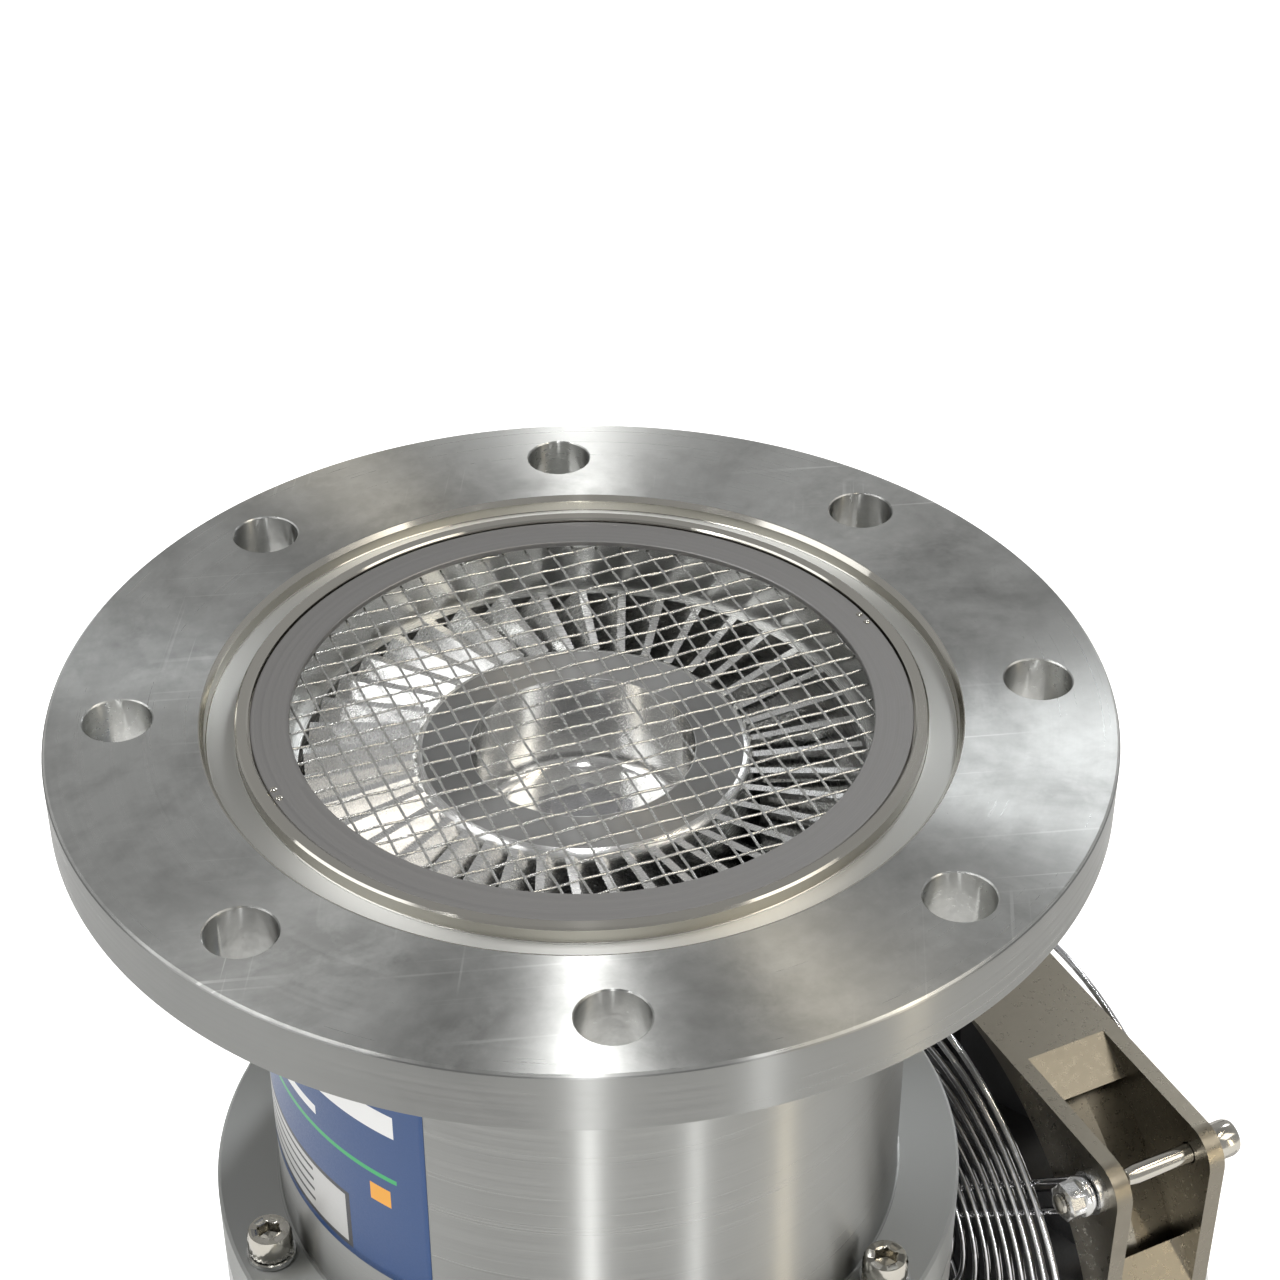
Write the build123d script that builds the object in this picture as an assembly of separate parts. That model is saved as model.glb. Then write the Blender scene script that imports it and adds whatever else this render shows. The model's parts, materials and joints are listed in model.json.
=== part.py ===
from build123d import *
import math
import os

# Turbomolecular pump with a bolted inlet flange, a bladed rotor over a drag drum, and a side fan.
# Millimetres. Origin on the rotor axis at the base's underside, +Z towards the inlet, +X towards the fan.

# ---------------------------------------------------------------- driving dimensions
# Inlet flange
INLET_HEIGHT = 232.0          # base underside to inlet flange face
FLANGE_DIA = 185.0
FLANGE_THICK = 12.0
FLANGE_PCD = 160.0
FLANGE_HOLES = 8
FLANGE_HOLE_DIA = 12.0
GROOVE_ID = 120.0             # seal groove in the inlet face
GROOVE_OD = 131.0
GROOVE_DEPTH = 3.0
SEAT_DIA = 115.4              # shallow seat that holds the inlet screen
SEAT_DEPTH = 1.6
SEAT_LEDGE = 6.5              # width of the seat under the screen ring
EDGE_BREAK = 0.6
# Casing
CASING_DIA = 120.0
CASING_BORE = 110.4
WELD_LEG = 2.5                # weld fillet under the inlet flange
FOOT_DIA = 144.4              # casing foot flange and base flanges
FOOT_THICK = 12.0
FOOT_DROP = 107.0             # inlet face down to the top of the foot flange
FOOT_PCD = 132.0
FOOT_SCREWS = 6
# Socket-head screws of the casing foot
M5_DIA = 5.0
M5_HEAD_DIA = 8.5
M5_HEAD_HEIGHT = 5.0
M5_HEX = 4.0
M5_HOLE_DIA = 5.6
M5_GRIP_DEPTH = 9.0           # thread engaged in the base
WASHER_DIA = 9.2
WASHER_THICK = 1.4
# Inlet screen
SCREEN_RING_WIDTH = 6.8
SCREEN_RING_THICK = 1.0
MESH_PITCH = 4.233
MESH_WIRE = 0.5
MESH_TURN = 356.0             # direction of the first family of wires, degrees
# Rotor
ROTOR_DROP = 10.0             # inlet face down to the top of the rotor
HUB_DIA = 60.0
HUB_CROWN_DIA = 56.0
TIP_DIA = 98.4
BLADE_THICK = 1.0
RECESS_DIA = 39.6
RECESS_DEPTH = 19.0
WEB_THICK = 7.0               # rotor web under the recess
BELL_BORE = 44.0              # cavity under the web
DRUM_DIA = 91.0
DRUM_WALL = 3.5
STAGE_GAP = 1.5               # axial running gap between blade rows
ROTOR_ROWS = [(40, 11.5, 42.0), (30, 6.0, 35.0), (24, 4.5, 28.0), (24, 4.0, 24.0)]   # blades, height, angle
STATOR_ROWS = [(30, 5.5, 35.0), (24, 4.5, 28.0), (24, 4.0, 24.0)]
STATOR_SPLIT = 0.3            # gap between the two halves of a stator disc
STATOR_BORE_GAP = 1.5         # stator inner rim to rotor hub
STATOR_RIM = 1.5
SPACER_BORE = 100.2
SPACER_DIA = 110.0
DRAG_BORE = 92.4
DRUM_LENGTH = 66.0
# Shaft, motor and bearings
SHAFT_DIA = 12.0
SHAFT_COLLAR_DIA = 28.0
SHAFT_COLLAR = 2.5
SHAFT_TIP = 2.5               # shaft above the recess floor
NUT_ACROSS = 17.0
NUT_HEIGHT = 3.0
SHAFT_LENGTH = 138.0
BEARING_DIA = 26.0
BEARING_WIDTH = 8.0
RACE_WALL = 2.3
BALL_DIA = 4.4
BALLS = 8
BALL_CLEARANCE = 0.05
CAGE_WALL = 1.4
CAGE_HEIGHT = 5.2
RETAINER = 1.5
POST_DIA = 40.0               # upper part of the motor housing, inside the rotor bell
POST_GAP = 2.2                # shaft collar down to the housing top
HOUSING_DIA = 76.0
HOUSING_FLANGE_DIA = 92.0
HOUSING_FLANGE = 8.0
MOTOR_BORE = 60.0
MOTOR_HEIGHT = 30.0
MOTOR_GAP = 1.0
MAGNET_DIA = 26.0
WINDING_HEIGHT = 8.0
SHAFT_CLEARANCE = 1.0
# Base
BASE_BODY_DIA = 124.0
BASE_FLANGE = 12.0
BASE_FOOT = 16.0
BASE_CAVITY_DIA = 100.0
BASE_FLOOR_DROP = 51.0        # casing foot down to the base floor
BASE_FLOOR = 12.0
SLEEVE_LEDGE_DROP = 13.0
WIRING_BAY_DIA = 104.0
COVER_DIA = 112.0
COVER_THICK = 6.0
COVER_SCREWS = 6
FIN_DIA = 138.0
FIN_THICK = 2.5
FIN_PITCH = 6.5
FIN_FIRST_Z = 34.0
FINS = 7
FOOT_HOLE_PCD = 128.0
FOOT_HOLE_DIA = 6.8           # tapping size of an M8 thread
FOOT_HOLE_DEPTH = 14.0
FOOT_HOLES = 4
# Exhaust port, power connector and vent plug
PORT_DROP = 31.0              # casing foot down to the port axis
PORT_BORE = 26.0
PORT_TUBE_DIA = 30.0
PORT_FLANGE_DIA = 40.0
PORT_RIM = 3.0
PORT_REACH = 102.0            # rotor axis to the port's face
PORT_PLATE = 44.0
PORT_PLATE_THICK = 6.0
CONNECTOR_Z = 31.0
CONNECTOR_PLATE = 30.0
CONNECTOR_PLATE_THICK = 3.0
CONNECTOR_SHELL_DIA = 24.0
CONNECTOR_SHELL_LENGTH = 16.0
CONNECTOR_WALL = 1.6
CONNECTOR_PINS = 8
PORT_SCREW_DIA = 4.0
PORT_SCREW_SPOTS = [(x, z) for x in (-17.0, 17.0) for z in (-12.0, 12.0)]
CONNECTOR_SCREW_DIA = 3.0
CONNECTOR_SCREW_SPOTS = [(x, z) for x in (-12.0, 12.0) for z in (-11.0, 11.0)]
PAD_FACE = 66.0               # rotor axis to the flat pads on the base
VENT_ANGLE = 200.0
VENT_PLUG_DIA = 13.2
# Fan
FAN_SIZE = 119.0
FAN_DEPTH = 25.4
FAN_FACE_X = 84.0             # rotor axis to the fan's inner face
FAN_BOTTOM_Z = 8.0
FAN_HOLE_INSET = 7.0
FAN_HOLE_DIA = 4.5
FAN_FLANGE = 3.6
FAN_CORNER = 7.0
FAN_DUCT_LAND = 3.0           # duct to the middle of each side
DUCT_WALL_EDGE = 1.6
DUCT_WALL_MIDDLE = 3.6
FAN_SIDE_PAD = 44.0
FAN_HUB_DIA = 62.0
FAN_HUB_DEPTH = 17.0
FAN_TIP_GAP = 1.2
FAN_BLADES = 7
FAN_BLADE_THICK = 1.8
FAN_MOTOR_DIA = 44.0
FAN_STRUTS = 4
STRUT_WIDTH = 8.0
STRUT_THICK = 3.2
# Fan guards, their screws and the bracket
GUARD_WIRE = 1.5
GUARD_RING_PITCH = 4.7
GUARD_ARM_GAP = 6.0
GUARD_INSET = 2.5
BRACKET_THICK = 2.0
FAN_SCREW_DIA = 4.0
FAN_SCREW_HEAD_DIA = 7.6
FAN_SCREW_HEAD = 5.0
FAN_NUT_HEIGHT = 4.6
ARM_INNER_Y = 31.0
ARM_OUTER_Y = 44.0
ARM_SCREW = (56.5, 37.0)

FIT = 0.2                     # clearance of located, non-moving pieces
RUN = 0.03                    # radial clearance of running seats
SEAT = 0.1                    # radial clearance of pressed rings on their seats

# ---------------------------------------------------------------- levels worked out from them
FLANGE_BOTTOM = INLET_HEIGHT - FLANGE_THICK
FOOT_TOP = INLET_HEIGHT - FOOT_DROP
FOOT_BOTTOM = FOOT_TOP - FOOT_THICK
ROTOR_TOP = INLET_HEIGHT - ROTOR_DROP
RECESS_FLOOR = ROTOR_TOP - RECESS_DEPTH
WEB_BOTTOM = RECESS_FLOOR - WEB_THICK
COLLAR_BOTTOM = WEB_BOTTOM - SHAFT_COLLAR
POST_TOP = COLLAR_BOTTOM - POST_GAP
SCREEN_Z = INLET_HEIGHT - SEAT_DEPTH
INLET_BORE = SEAT_DIA - 2 * SEAT_LEDGE
SCREEN_RING_OD = SEAT_DIA - 2 * FIT
SCREEN_RING_ID = SCREEN_RING_OD - 2 * SCREEN_RING_WIDTH
BASE_FLOOR_Z = FOOT_BOTTOM - BASE_FLOOR_DROP
SLEEVE_LEDGE_Z = FOOT_BOTTOM - SLEEVE_LEDGE_DROP
PORT_Z = FOOT_BOTTOM - PORT_DROP
FAN_CENTRE_Z = FAN_BOTTOM_Z + FAN_SIZE / 2
HALF_HOLES = FAN_SIZE / 2 - FAN_HOLE_INSET
FAN_DUCT_DIA = FAN_SIZE - 2 * FAN_DUCT_LAND
GUARD_OUTER_R = FAN_SIZE / 2 - GUARD_INSET - GUARD_WIRE
GUARD_SMALLEST_R = GUARD_ARM_GAP / 2 + GUARD_WIRE / 4     # innermost ring, wide enough to reach the arms
GUARD_RINGS = 1 + int((GUARD_OUTER_R - GUARD_SMALLEST_R) / GUARD_RING_PITCH)


# ---------------------------------------------------------------- shared shapes
def tube(outer, inner, low, high):
    """Ring between two levels on the rotor axis, given by diameters."""
    height = high - low
    body = Cylinder(outer / 2, height)
    if inner:
        body -= Cylinder(inner / 2, height)
    return Pos(0, 0, (low + high) / 2) * body


def turned(points):
    """Solid of revolution about the rotor axis from (radius, level) points."""
    return revolve(Plane.XZ * make_face(Polyline(*points, close=True)), Axis.Z)


def around(count, start=0.0):
    """Rotations about the rotor axis for a full circle of copies."""
    return [Rot(0, 0, start + 360 * i / count) for i in range(count)]


def group(solids):
    """Several separate solids kept as one node."""
    return Compound(children=[s for shape in solids for s in shape.solids()])


def socket_screw(diameter, head_dia, head_height, hexagon, length):
    """Socket-head cap screw, head underside at level 0, shank downwards."""
    head = Pos(0, 0, head_height / 2) * Cylinder(head_dia / 2, head_height)
    head = chamfer(head.edges().group_by(Axis.Z)[-1], 0.08 * head_dia)
    depth = 0.55 * head_height
    socket = extrude(RegularPolygon(hexagon / 2, 6, major_radius=False), depth)
    socket = Pos(0, 0, head_height - depth) * socket
    return head - socket + Pos(0, 0, -length / 2) * Cylinder(diameter / 2, length)


def blade_row(count, low, height, root_dia, tip_dia, angle, thick):
    """Flat inclined blades between two diameters; a positive angle leans the top edge clockwise."""
    lean = height / math.tan(math.radians(abs(angle))) / 2 * math.copysign(1, angle)
    half = thick / math.sin(math.radians(abs(angle))) / 2
    section = Polyline((-lean - half, 0), (-lean + half, 0), (lean + half, height), (lean - half, height),
                       close=True)
    root = root_dia / 2 - 0.8
    reach = math.sqrt((tip_dia / 2) ** 2 - (abs(lean) + half) ** 2)
    # The section plane faces outwards along +X with its first axis along -Y.
    plane = Plane(origin=(root, 0, low), x_dir=(0, -1, 0), z_dir=(-1, 0, 0))
    blade = extrude(plane * make_face(section), -(reach - root))
    return [turn * blade for turn in around(count)]


# ---------------------------------------------------------------- casing and screen
def inlet_flange():
    radius = FLANGE_DIA / 2
    body = turned([
        (INLET_BORE / 2, FLANGE_BOTTOM), (radius - EDGE_BREAK, FLANGE_BOTTOM),
        (radius, FLANGE_BOTTOM + EDGE_BREAK),
        (radius, INLET_HEIGHT - EDGE_BREAK), (radius - EDGE_BREAK, INLET_HEIGHT),
        (GROOVE_OD / 2, INLET_HEIGHT), (GROOVE_OD / 2, INLET_HEIGHT - GROOVE_DEPTH),
        (GROOVE_ID / 2, INLET_HEIGHT - GROOVE_DEPTH), (GROOVE_ID / 2, INLET_HEIGHT),
        (SEAT_DIA / 2, INLET_HEIGHT), (SEAT_DIA / 2, SCREEN_Z), (INLET_BORE / 2, SCREEN_Z),
    ])
    middle = FLANGE_BOTTOM + FLANGE_THICK / 2
    hole = Pos(FLANGE_PCD / 2, 0, middle) * Cylinder(FLANGE_HOLE_DIA / 2, 2 * FLANGE_THICK)
    return body - [turn * hole for turn in around(FLANGE_HOLES, 180 / FLANGE_HOLES)]


def pump_casing():
    wall, bore, foot = CASING_DIA / 2, CASING_BORE / 2, FOOT_DIA / 2
    body = turned([
        (bore, FOOT_BOTTOM), (foot, FOOT_BOTTOM), (foot, FOOT_TOP - EDGE_BREAK),
        (foot - EDGE_BREAK, FOOT_TOP), (wall, FOOT_TOP), (wall, FLANGE_BOTTOM - WELD_LEG),
        (wall + WELD_LEG, FLANGE_BOTTOM), (bore, FLANGE_BOTTOM),
    ])
    hole = Pos(FOOT_PCD / 2, 0, FOOT_BOTTOM + FOOT_THICK / 2) * Cylinder(M5_HOLE_DIA / 2, 2 * FOOT_THICK)
    return body - [turn * hole for turn in around(FOOT_SCREWS)]


def casing_screws():
    length = FOOT_THICK + WASHER_THICK + M5_GRIP_DEPTH
    screw = socket_screw(M5_DIA, M5_HEAD_DIA, M5_HEAD_HEIGHT, M5_HEX, length)
    seat = Pos(FOOT_PCD / 2, 0, FOOT_TOP + WASHER_THICK)
    return group([turn * seat * screw for turn in around(FOOT_SCREWS)])


def spring_washers():
    washer = tube(WASHER_DIA, M5_DIA + 2 * FIT, 0, WASHER_THICK)
    split = Rot(35, 0, 0) * Box(WASHER_DIA, 0.5, 3 * WASHER_THICK)
    washer -= Pos(WASHER_DIA / 2, 0, WASHER_THICK / 2) * split
    seat = Rot(0, 0, 250)
    return group([turn * Pos(FOOT_PCD / 2, 0, FOOT_TOP) * seat * washer for turn in around(FOOT_SCREWS)])


def screen_ring():
    return tube(SCREEN_RING_OD, SCREEN_RING_ID, SCREEN_Z, SCREEN_Z + SCREEN_RING_THICK)


def screen_mesh():
    """Two crossed layers of wire welded under the ring's inner edge."""
    weld_overlap = 0.2
    limit = SCREEN_RING_ID / 2 + weld_overlap
    wires = []
    steps = int(limit / MESH_PITCH)
    for layer in range(2):
        level = SCREEN_Z - MESH_WIRE / 2 - layer * MESH_WIRE
        for step in range(-steps, steps + 1):
            offset = step * MESH_PITCH
            length = 2 * math.sqrt(limit ** 2 - offset ** 2)
            wire = Pos(0, offset, level) * Rot(0, 90, 0) * Cylinder(MESH_WIRE / 2, length)
            wires.append(Rot(0, 0, MESH_TURN + 90 * layer) * wire)
    return group(wires)


# ---------------------------------------------------------------- blade stack
def row_levels():
    """Lower level of each rotor row and stator row, from the top down."""
    rotor, stator = [], []
    level = ROTOR_TOP - 0.5
    for index, (_, height, _) in enumerate(ROTOR_ROWS):
        level -= height
        rotor.append(level)
        if index < len(STATOR_ROWS):
            level -= STAGE_GAP + STATOR_ROWS[index][1]
            stator.append(level)
            level -= STAGE_GAP
    return rotor, stator


ROTOR_LEVELS, STATOR_LEVELS = row_levels()
STACK_BOTTOM = STATOR_LEVELS[-1]
DRUM_TOP = ROTOR_LEVELS[-1] - 1.0
DRUM_BOTTOM = DRUM_TOP - DRUM_LENGTH


def rotor():
    hub, crown, bell = HUB_DIA / 2, HUB_CROWN_DIA / 2, BELL_BORE / 2
    drum, recess = DRUM_DIA / 2, RECESS_DIA / 2
    shoulder = hub - crown
    drum_bore = drum - DRUM_WALL
    recess_round = 2.5
    profile = Polyline(
        (SHAFT_DIA / 2 + RUN, WEB_BOTTOM), (bell, WEB_BOTTOM),
        (bell, DRUM_TOP - 8), (drum_bore, DRUM_TOP - 12),
        (drum_bore, DRUM_BOTTOM), (drum, DRUM_BOTTOM), (drum, DRUM_TOP - 1.5), (drum - 1.5, DRUM_TOP),
        (hub, DRUM_TOP), (hub, ROTOR_TOP - shoulder),
    )
    profile += CenterArc((crown, ROTOR_TOP - shoulder), shoulder, 0, 90)
    profile += Polyline((crown, ROTOR_TOP), (recess, ROTOR_TOP), (recess, RECESS_FLOOR + recess_round))
    profile += CenterArc((recess - recess_round, RECESS_FLOOR + recess_round), recess_round, 0, -90)
    profile += Polyline((recess - recess_round, RECESS_FLOOR), (SHAFT_DIA / 2 + RUN, RECESS_FLOOR),
                        (SHAFT_DIA / 2 + RUN, WEB_BOTTOM))
    body = revolve(Plane.XZ * make_face(profile), Axis.Z)
    blades = []
    for (count, height, angle), low in zip(ROTOR_ROWS, ROTOR_LEVELS):
        blades += blade_row(count, low, height, HUB_DIA, TIP_DIA, angle, BLADE_THICK)
    return body + blades


def stator_disc(index):
    """Split disc: inner rim, outer rim held between spacers, and blades leaning the other way."""
    count, height, angle = STATOR_ROWS[index]
    low = STATOR_LEVELS[index]
    inner = HUB_DIA + 2 * STATOR_BORE_GAP
    rim = inner + 2 * STATOR_RIM
    disc = tube(rim, inner, low, low + height) + tube(SPACER_DIA, SPACER_BORE, low, low + height)
    blades = blade_row(count, low, height, rim, SPACER_BORE + 1.6, -angle, BLADE_THICK)
    disc = disc + blades
    return disc - Pos(0, 0, low + height / 2) * Box(2 * SPACER_DIA, STATOR_SPLIT, 2 * height)


def spacer_ring(index):
    top = FLANGE_BOTTOM if index == 0 else STATOR_LEVELS[index - 1]
    low = STATOR_LEVELS[index] + STATOR_ROWS[index][1]
    return tube(SPACER_DIA, SPACER_BORE, low, top)


def drag_sleeve():
    """Stationary sleeve round the drum, its spiral pumping channels shown as shallow ring lands."""
    radius, land_step, land_depth = DRAG_BORE / 2, 9.0, 2.5
    step = DRUM_TOP - 0.5
    points = [(SPACER_DIA / 2, SLEEVE_LEDGE_Z), (SPACER_DIA / 2, STACK_BOTTOM)]
    points += [(SPACER_BORE / 2, STACK_BOTTOM), (SPACER_BORE / 2, step), (radius, step)]
    level = step - land_step
    while level - land_step > SLEEVE_LEDGE_Z + land_step:
        points += [(radius, level), (radius + land_depth, level)]
        points += [(radius + land_depth, level - land_step + 2), (radius, level - land_step + 2)]
        level -= land_step
    points.append((radius, SLEEVE_LEDGE_Z))
    return turned(points)


# ---------------------------------------------------------------- shaft, bearings and motor
UPPER_BEARING_Z = POST_TOP - 14.0
HOUSING_SHOULDER = DRUM_TOP - 18.0
MOTOR_TOP = HOUSING_SHOULDER - 12.0 - WINDING_HEIGHT
MOTOR_LOW = MOTOR_TOP - MOTOR_HEIGHT
SHAFT_TOP = RECESS_FLOOR + NUT_HEIGHT + SHAFT_TIP
SHAFT_BOTTOM = SHAFT_TOP - SHAFT_LENGTH
LOWER_BEARING_Z = SHAFT_BOTTOM + 3.0


def shaft():
    body = tube(SHAFT_DIA, 0, SHAFT_BOTTOM, SHAFT_TOP)
    return body + tube(SHAFT_COLLAR_DIA, 0, COLLAR_BOTTOM, WEB_BOTTOM)


def rotor_nut():
    nut = extrude(RegularPolygon(NUT_ACROSS / 2, 6, major_radius=False), NUT_HEIGHT)
    nut -= Cylinder(SHAFT_DIA / 2 + SEAT, 4 * NUT_HEIGHT)
    return Pos(0, 0, RECESS_FLOOR) * nut


def motor_magnet():
    return tube(MAGNET_DIA, SHAFT_DIA + 2 * SEAT, MOTOR_LOW, MOTOR_TOP)


def bearing_inner(low):
    inner = tube(SHAFT_DIA + 2 * RACE_WALL, SHAFT_DIA + 2 * SEAT, low, low + BEARING_WIDTH)
    return inner - ball_track(low)


def bearing_outer(low):
    outer = tube(BEARING_DIA, BEARING_DIA - 2 * RACE_WALL, low, low + BEARING_WIDTH)
    return outer - ball_track(low)


def ball_pitch():
    return (SHAFT_DIA + BEARING_DIA) / 4


def ball_track(low):
    return Pos(0, 0, low + BEARING_WIDTH / 2) * Torus(ball_pitch(), BALL_DIA / 2 + BALL_CLEARANCE)


def ball_cage(low):
    """Ring of balls held by their cage, running between the two races."""
    middle = low + BEARING_WIDTH / 2
    ball = Pos(ball_pitch(), 0, middle) * Sphere(BALL_DIA / 2)
    half = CAGE_HEIGHT / 2
    cage = tube(2 * ball_pitch() + CAGE_WALL, 2 * ball_pitch() - CAGE_WALL, middle - half, middle + half)
    return cage + [turn * ball for turn in around(BALLS)]


def retaining_rings():
    """One ring under the upper bearing, one over the lower bearing."""
    upper = tube(BEARING_DIA, BEARING_DIA - 3, UPPER_BEARING_Z - RETAINER, UPPER_BEARING_Z)
    seat_top = LOWER_BEARING_Z + BEARING_WIDTH
    lower = tube(BEARING_DIA + 4, BEARING_DIA - 3, seat_top, seat_top + RETAINER)
    return group([upper, lower])


def motor_housing():
    """Central post: bearing seat at the top, motor bore below, flange on the base floor."""
    post, body, flange = POST_DIA / 2, HOUSING_DIA / 2, HOUSING_FLANGE_DIA / 2
    seat, motor, neck = BEARING_DIA / 2 + SEAT, MOTOR_BORE / 2, SHAFT_DIA / 2 + SHAFT_CLEARANCE
    shoulder = HOUSING_SHOULDER
    flange_low = BASE_FLOOR_Z
    return turned([
        (neck, POST_TOP), (post, POST_TOP), (post, shoulder), (body, shoulder - 6),
        (body, flange_low + HOUSING_FLANGE), (flange, flange_low + HOUSING_FLANGE), (flange, flange_low),
        (motor, flange_low), (motor, MOTOR_TOP + WINDING_HEIGHT), (seat, MOTOR_TOP + WINDING_HEIGHT + 2),
        (seat, UPPER_BEARING_Z + BEARING_WIDTH), (neck, UPPER_BEARING_Z + BEARING_WIDTH),
    ])


def motor_core():
    return tube(MOTOR_BORE - 2 * SEAT, MAGNET_DIA + 2 * MOTOR_GAP, MOTOR_LOW, MOTOR_TOP)


def motor_windings():
    outer, inner = MOTOR_BORE - 6, MAGNET_DIA + 8
    upper = tube(outer, inner, MOTOR_TOP, MOTOR_TOP + WINDING_HEIGHT - 1)
    lower = tube(outer, inner, MOTOR_LOW - WINDING_HEIGHT + 1, MOTOR_LOW)
    return group([fillet(ring.edges(), 1.5) for ring in (upper, lower)])


def bearing_carrier():
    """Lower plug of the motor housing with the lower bearing's seat."""
    seat_top = LOWER_BEARING_Z + BEARING_WIDTH
    cap = LOWER_BEARING_Z - 6
    outer, seat = MOTOR_BORE / 2 - SEAT, BEARING_DIA / 2 + SEAT
    counterbore = BEARING_DIA / 2 + 2 + FIT
    return turned([
        (0, cap), (outer, cap), (outer, seat_top + RETAINER), (counterbore, seat_top + RETAINER),
        (counterbore, seat_top), (seat, seat_top), (seat, LOWER_BEARING_Z),
        (SHAFT_DIA / 2 + 1, LOWER_BEARING_Z),
        (SHAFT_DIA / 2 + 1, SHAFT_BOTTOM - 1), (0, SHAFT_BOTTOM - 1),
    ])


# ---------------------------------------------------------------- base
def base_outline():
    """Half section of the base, fins included."""
    foot, body, fin = FOOT_DIA / 2, BASE_BODY_DIA / 2, FIN_DIA / 2
    cavity, ledge, bay = BASE_CAVITY_DIA / 2, CASING_BORE / 2, WIRING_BAY_DIA / 2
    cover = COVER_DIA / 2 + FIT
    floor_low = BASE_FLOOR_Z - BASE_FLOOR
    opening = MOTOR_BORE / 2 - 4
    points = [(cover, 0), (foot, 0), (foot, BASE_FOOT), (body, BASE_FOOT)]
    for index in range(FINS):
        level = FIN_FIRST_Z + index * FIN_PITCH
        points += [(body, level), (fin, level), (fin, level + FIN_THICK), (body, level + FIN_THICK)]
    points += [
        (body, FOOT_BOTTOM - BASE_FLANGE), (foot, FOOT_BOTTOM - BASE_FLANGE), (foot, FOOT_BOTTOM),
        (ledge, FOOT_BOTTOM), (ledge, SLEEVE_LEDGE_Z), (cavity, SLEEVE_LEDGE_Z), (cavity, BASE_FLOOR_Z),
        (opening, BASE_FLOOR_Z), (opening, floor_low), (bay, floor_low), (bay, COVER_THICK),
        (cover, COVER_THICK),
    ]
    return points


def side_pad(angle, level, width, height):
    """Flat pad standing out of the base at an angle, before the cavities are cleared."""
    inner = BASE_BODY_DIA / 2 - 8
    return Rot(0, 0, angle) * Pos((inner + PAD_FACE) / 2, 0, level) * Box(PAD_FACE - inner, width, height)


def side_clearance(angle, level, width, height):
    """Flat pocket that clears the fins and rims in front of a pad."""
    depth = FOOT_DIA / 2 - PAD_FACE + 1
    return Rot(0, 0, angle) * Pos(PAD_FACE + depth / 2, 0, level) * Box(depth, width, height)


def side_hole(angle, level, diameter, start, end):
    drill = Rot(0, 90, 0) * Cylinder(diameter / 2, end - start)
    return Rot(0, 0, angle) * Pos((start + end) / 2, 0, level) * drill


def base_housing():
    body = turned(base_outline())
    body += side_pad(90, PORT_Z, PORT_PLATE, PORT_PLATE - 8)
    body += side_pad(270, CONNECTOR_Z, CONNECTOR_PLATE + 2, CONNECTOR_PLATE - 0.5)
    cuts = [side_clearance(90, PORT_Z, PORT_PLATE + 2, PORT_PLATE - 8.5)]
    cuts.append(side_clearance(270, CONNECTOR_Z, CONNECTOR_PLATE + 2, CONNECTOR_PLATE - 1))
    cuts.append(side_hole(90, PORT_Z, PORT_BORE + 2, BASE_CAVITY_DIA / 2 - 6, PAD_FACE + 1))
    for x, z in PORT_SCREW_SPOTS:
        drill = Rot(90, 0, 0) * Cylinder(PORT_SCREW_DIA / 2 + SEAT, 6)
        cuts.append(Pos(x, PAD_FACE - 3, PORT_Z + z) * drill)
    for x, z in CONNECTOR_SCREW_SPOTS:
        drill = Rot(90, 0, 0) * Cylinder(CONNECTOR_SCREW_DIA / 2 + SEAT, 5)
        cuts.append(Pos(x, -PAD_FACE + 2.5, CONNECTOR_Z + z) * drill)
    cuts.append(side_hole(270, CONNECTOR_Z, CONNECTOR_SHELL_DIA - 4, WIRING_BAY_DIA / 2 - 6, PAD_FACE + 1))
    cuts.append(side_hole(VENT_ANGLE, PORT_Z, VENT_PLUG_DIA, BASE_CAVITY_DIA / 2 - 6, FIN_DIA / 2 + 1))
    depth = M5_GRIP_DEPTH + 1
    hole = Pos(FOOT_PCD / 2, 0, FOOT_BOTTOM - depth / 2) * Cylinder(M5_DIA / 2 + SEAT, depth)
    cuts += [turn * hole for turn in around(FOOT_SCREWS)]
    tapped = Pos(FOOT_HOLE_PCD / 2, 0, FOOT_HOLE_DEPTH / 2) * Cylinder(FOOT_HOLE_DIA / 2, FOOT_HOLE_DEPTH)
    cuts += [turn * tapped for turn in around(FOOT_HOLES, 45)]
    for side in (-1, 1):
        cuts.append(Pos(ARM_SCREW[0], side * ARM_SCREW[1], BASE_FOOT - 5) * Cylinder(2.0 + SEAT, 10))
    return body - cuts


def bottom_cover():
    cover = tube(COVER_DIA, 0, 0, COVER_THICK)
    head = Pos(COVER_DIA / 2 - 8, 0, 1.6) * Cylinder(3.6, 3.2)
    shank = Pos(COVER_DIA / 2 - 8, 0, COVER_THICK / 2) * Cylinder(1.7, COVER_THICK)
    return cover - [turn * cut for turn in around(COVER_SCREWS) for cut in (head, shank)]


def cover_screws():
    """Flat screws sunk in the bottom cover."""
    screw = tube(7.0, 0, 0.4, 3.2) + tube(3.2, 0, 3.2, COVER_THICK)
    screw -= Pos(0, 0, 0.4) * extrude(RegularPolygon(1.25, 6, major_radius=False), 1.5)
    return group([turn * Pos(COVER_DIA / 2 - 8, 0, 0) * screw for turn in around(COVER_SCREWS)])


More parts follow.
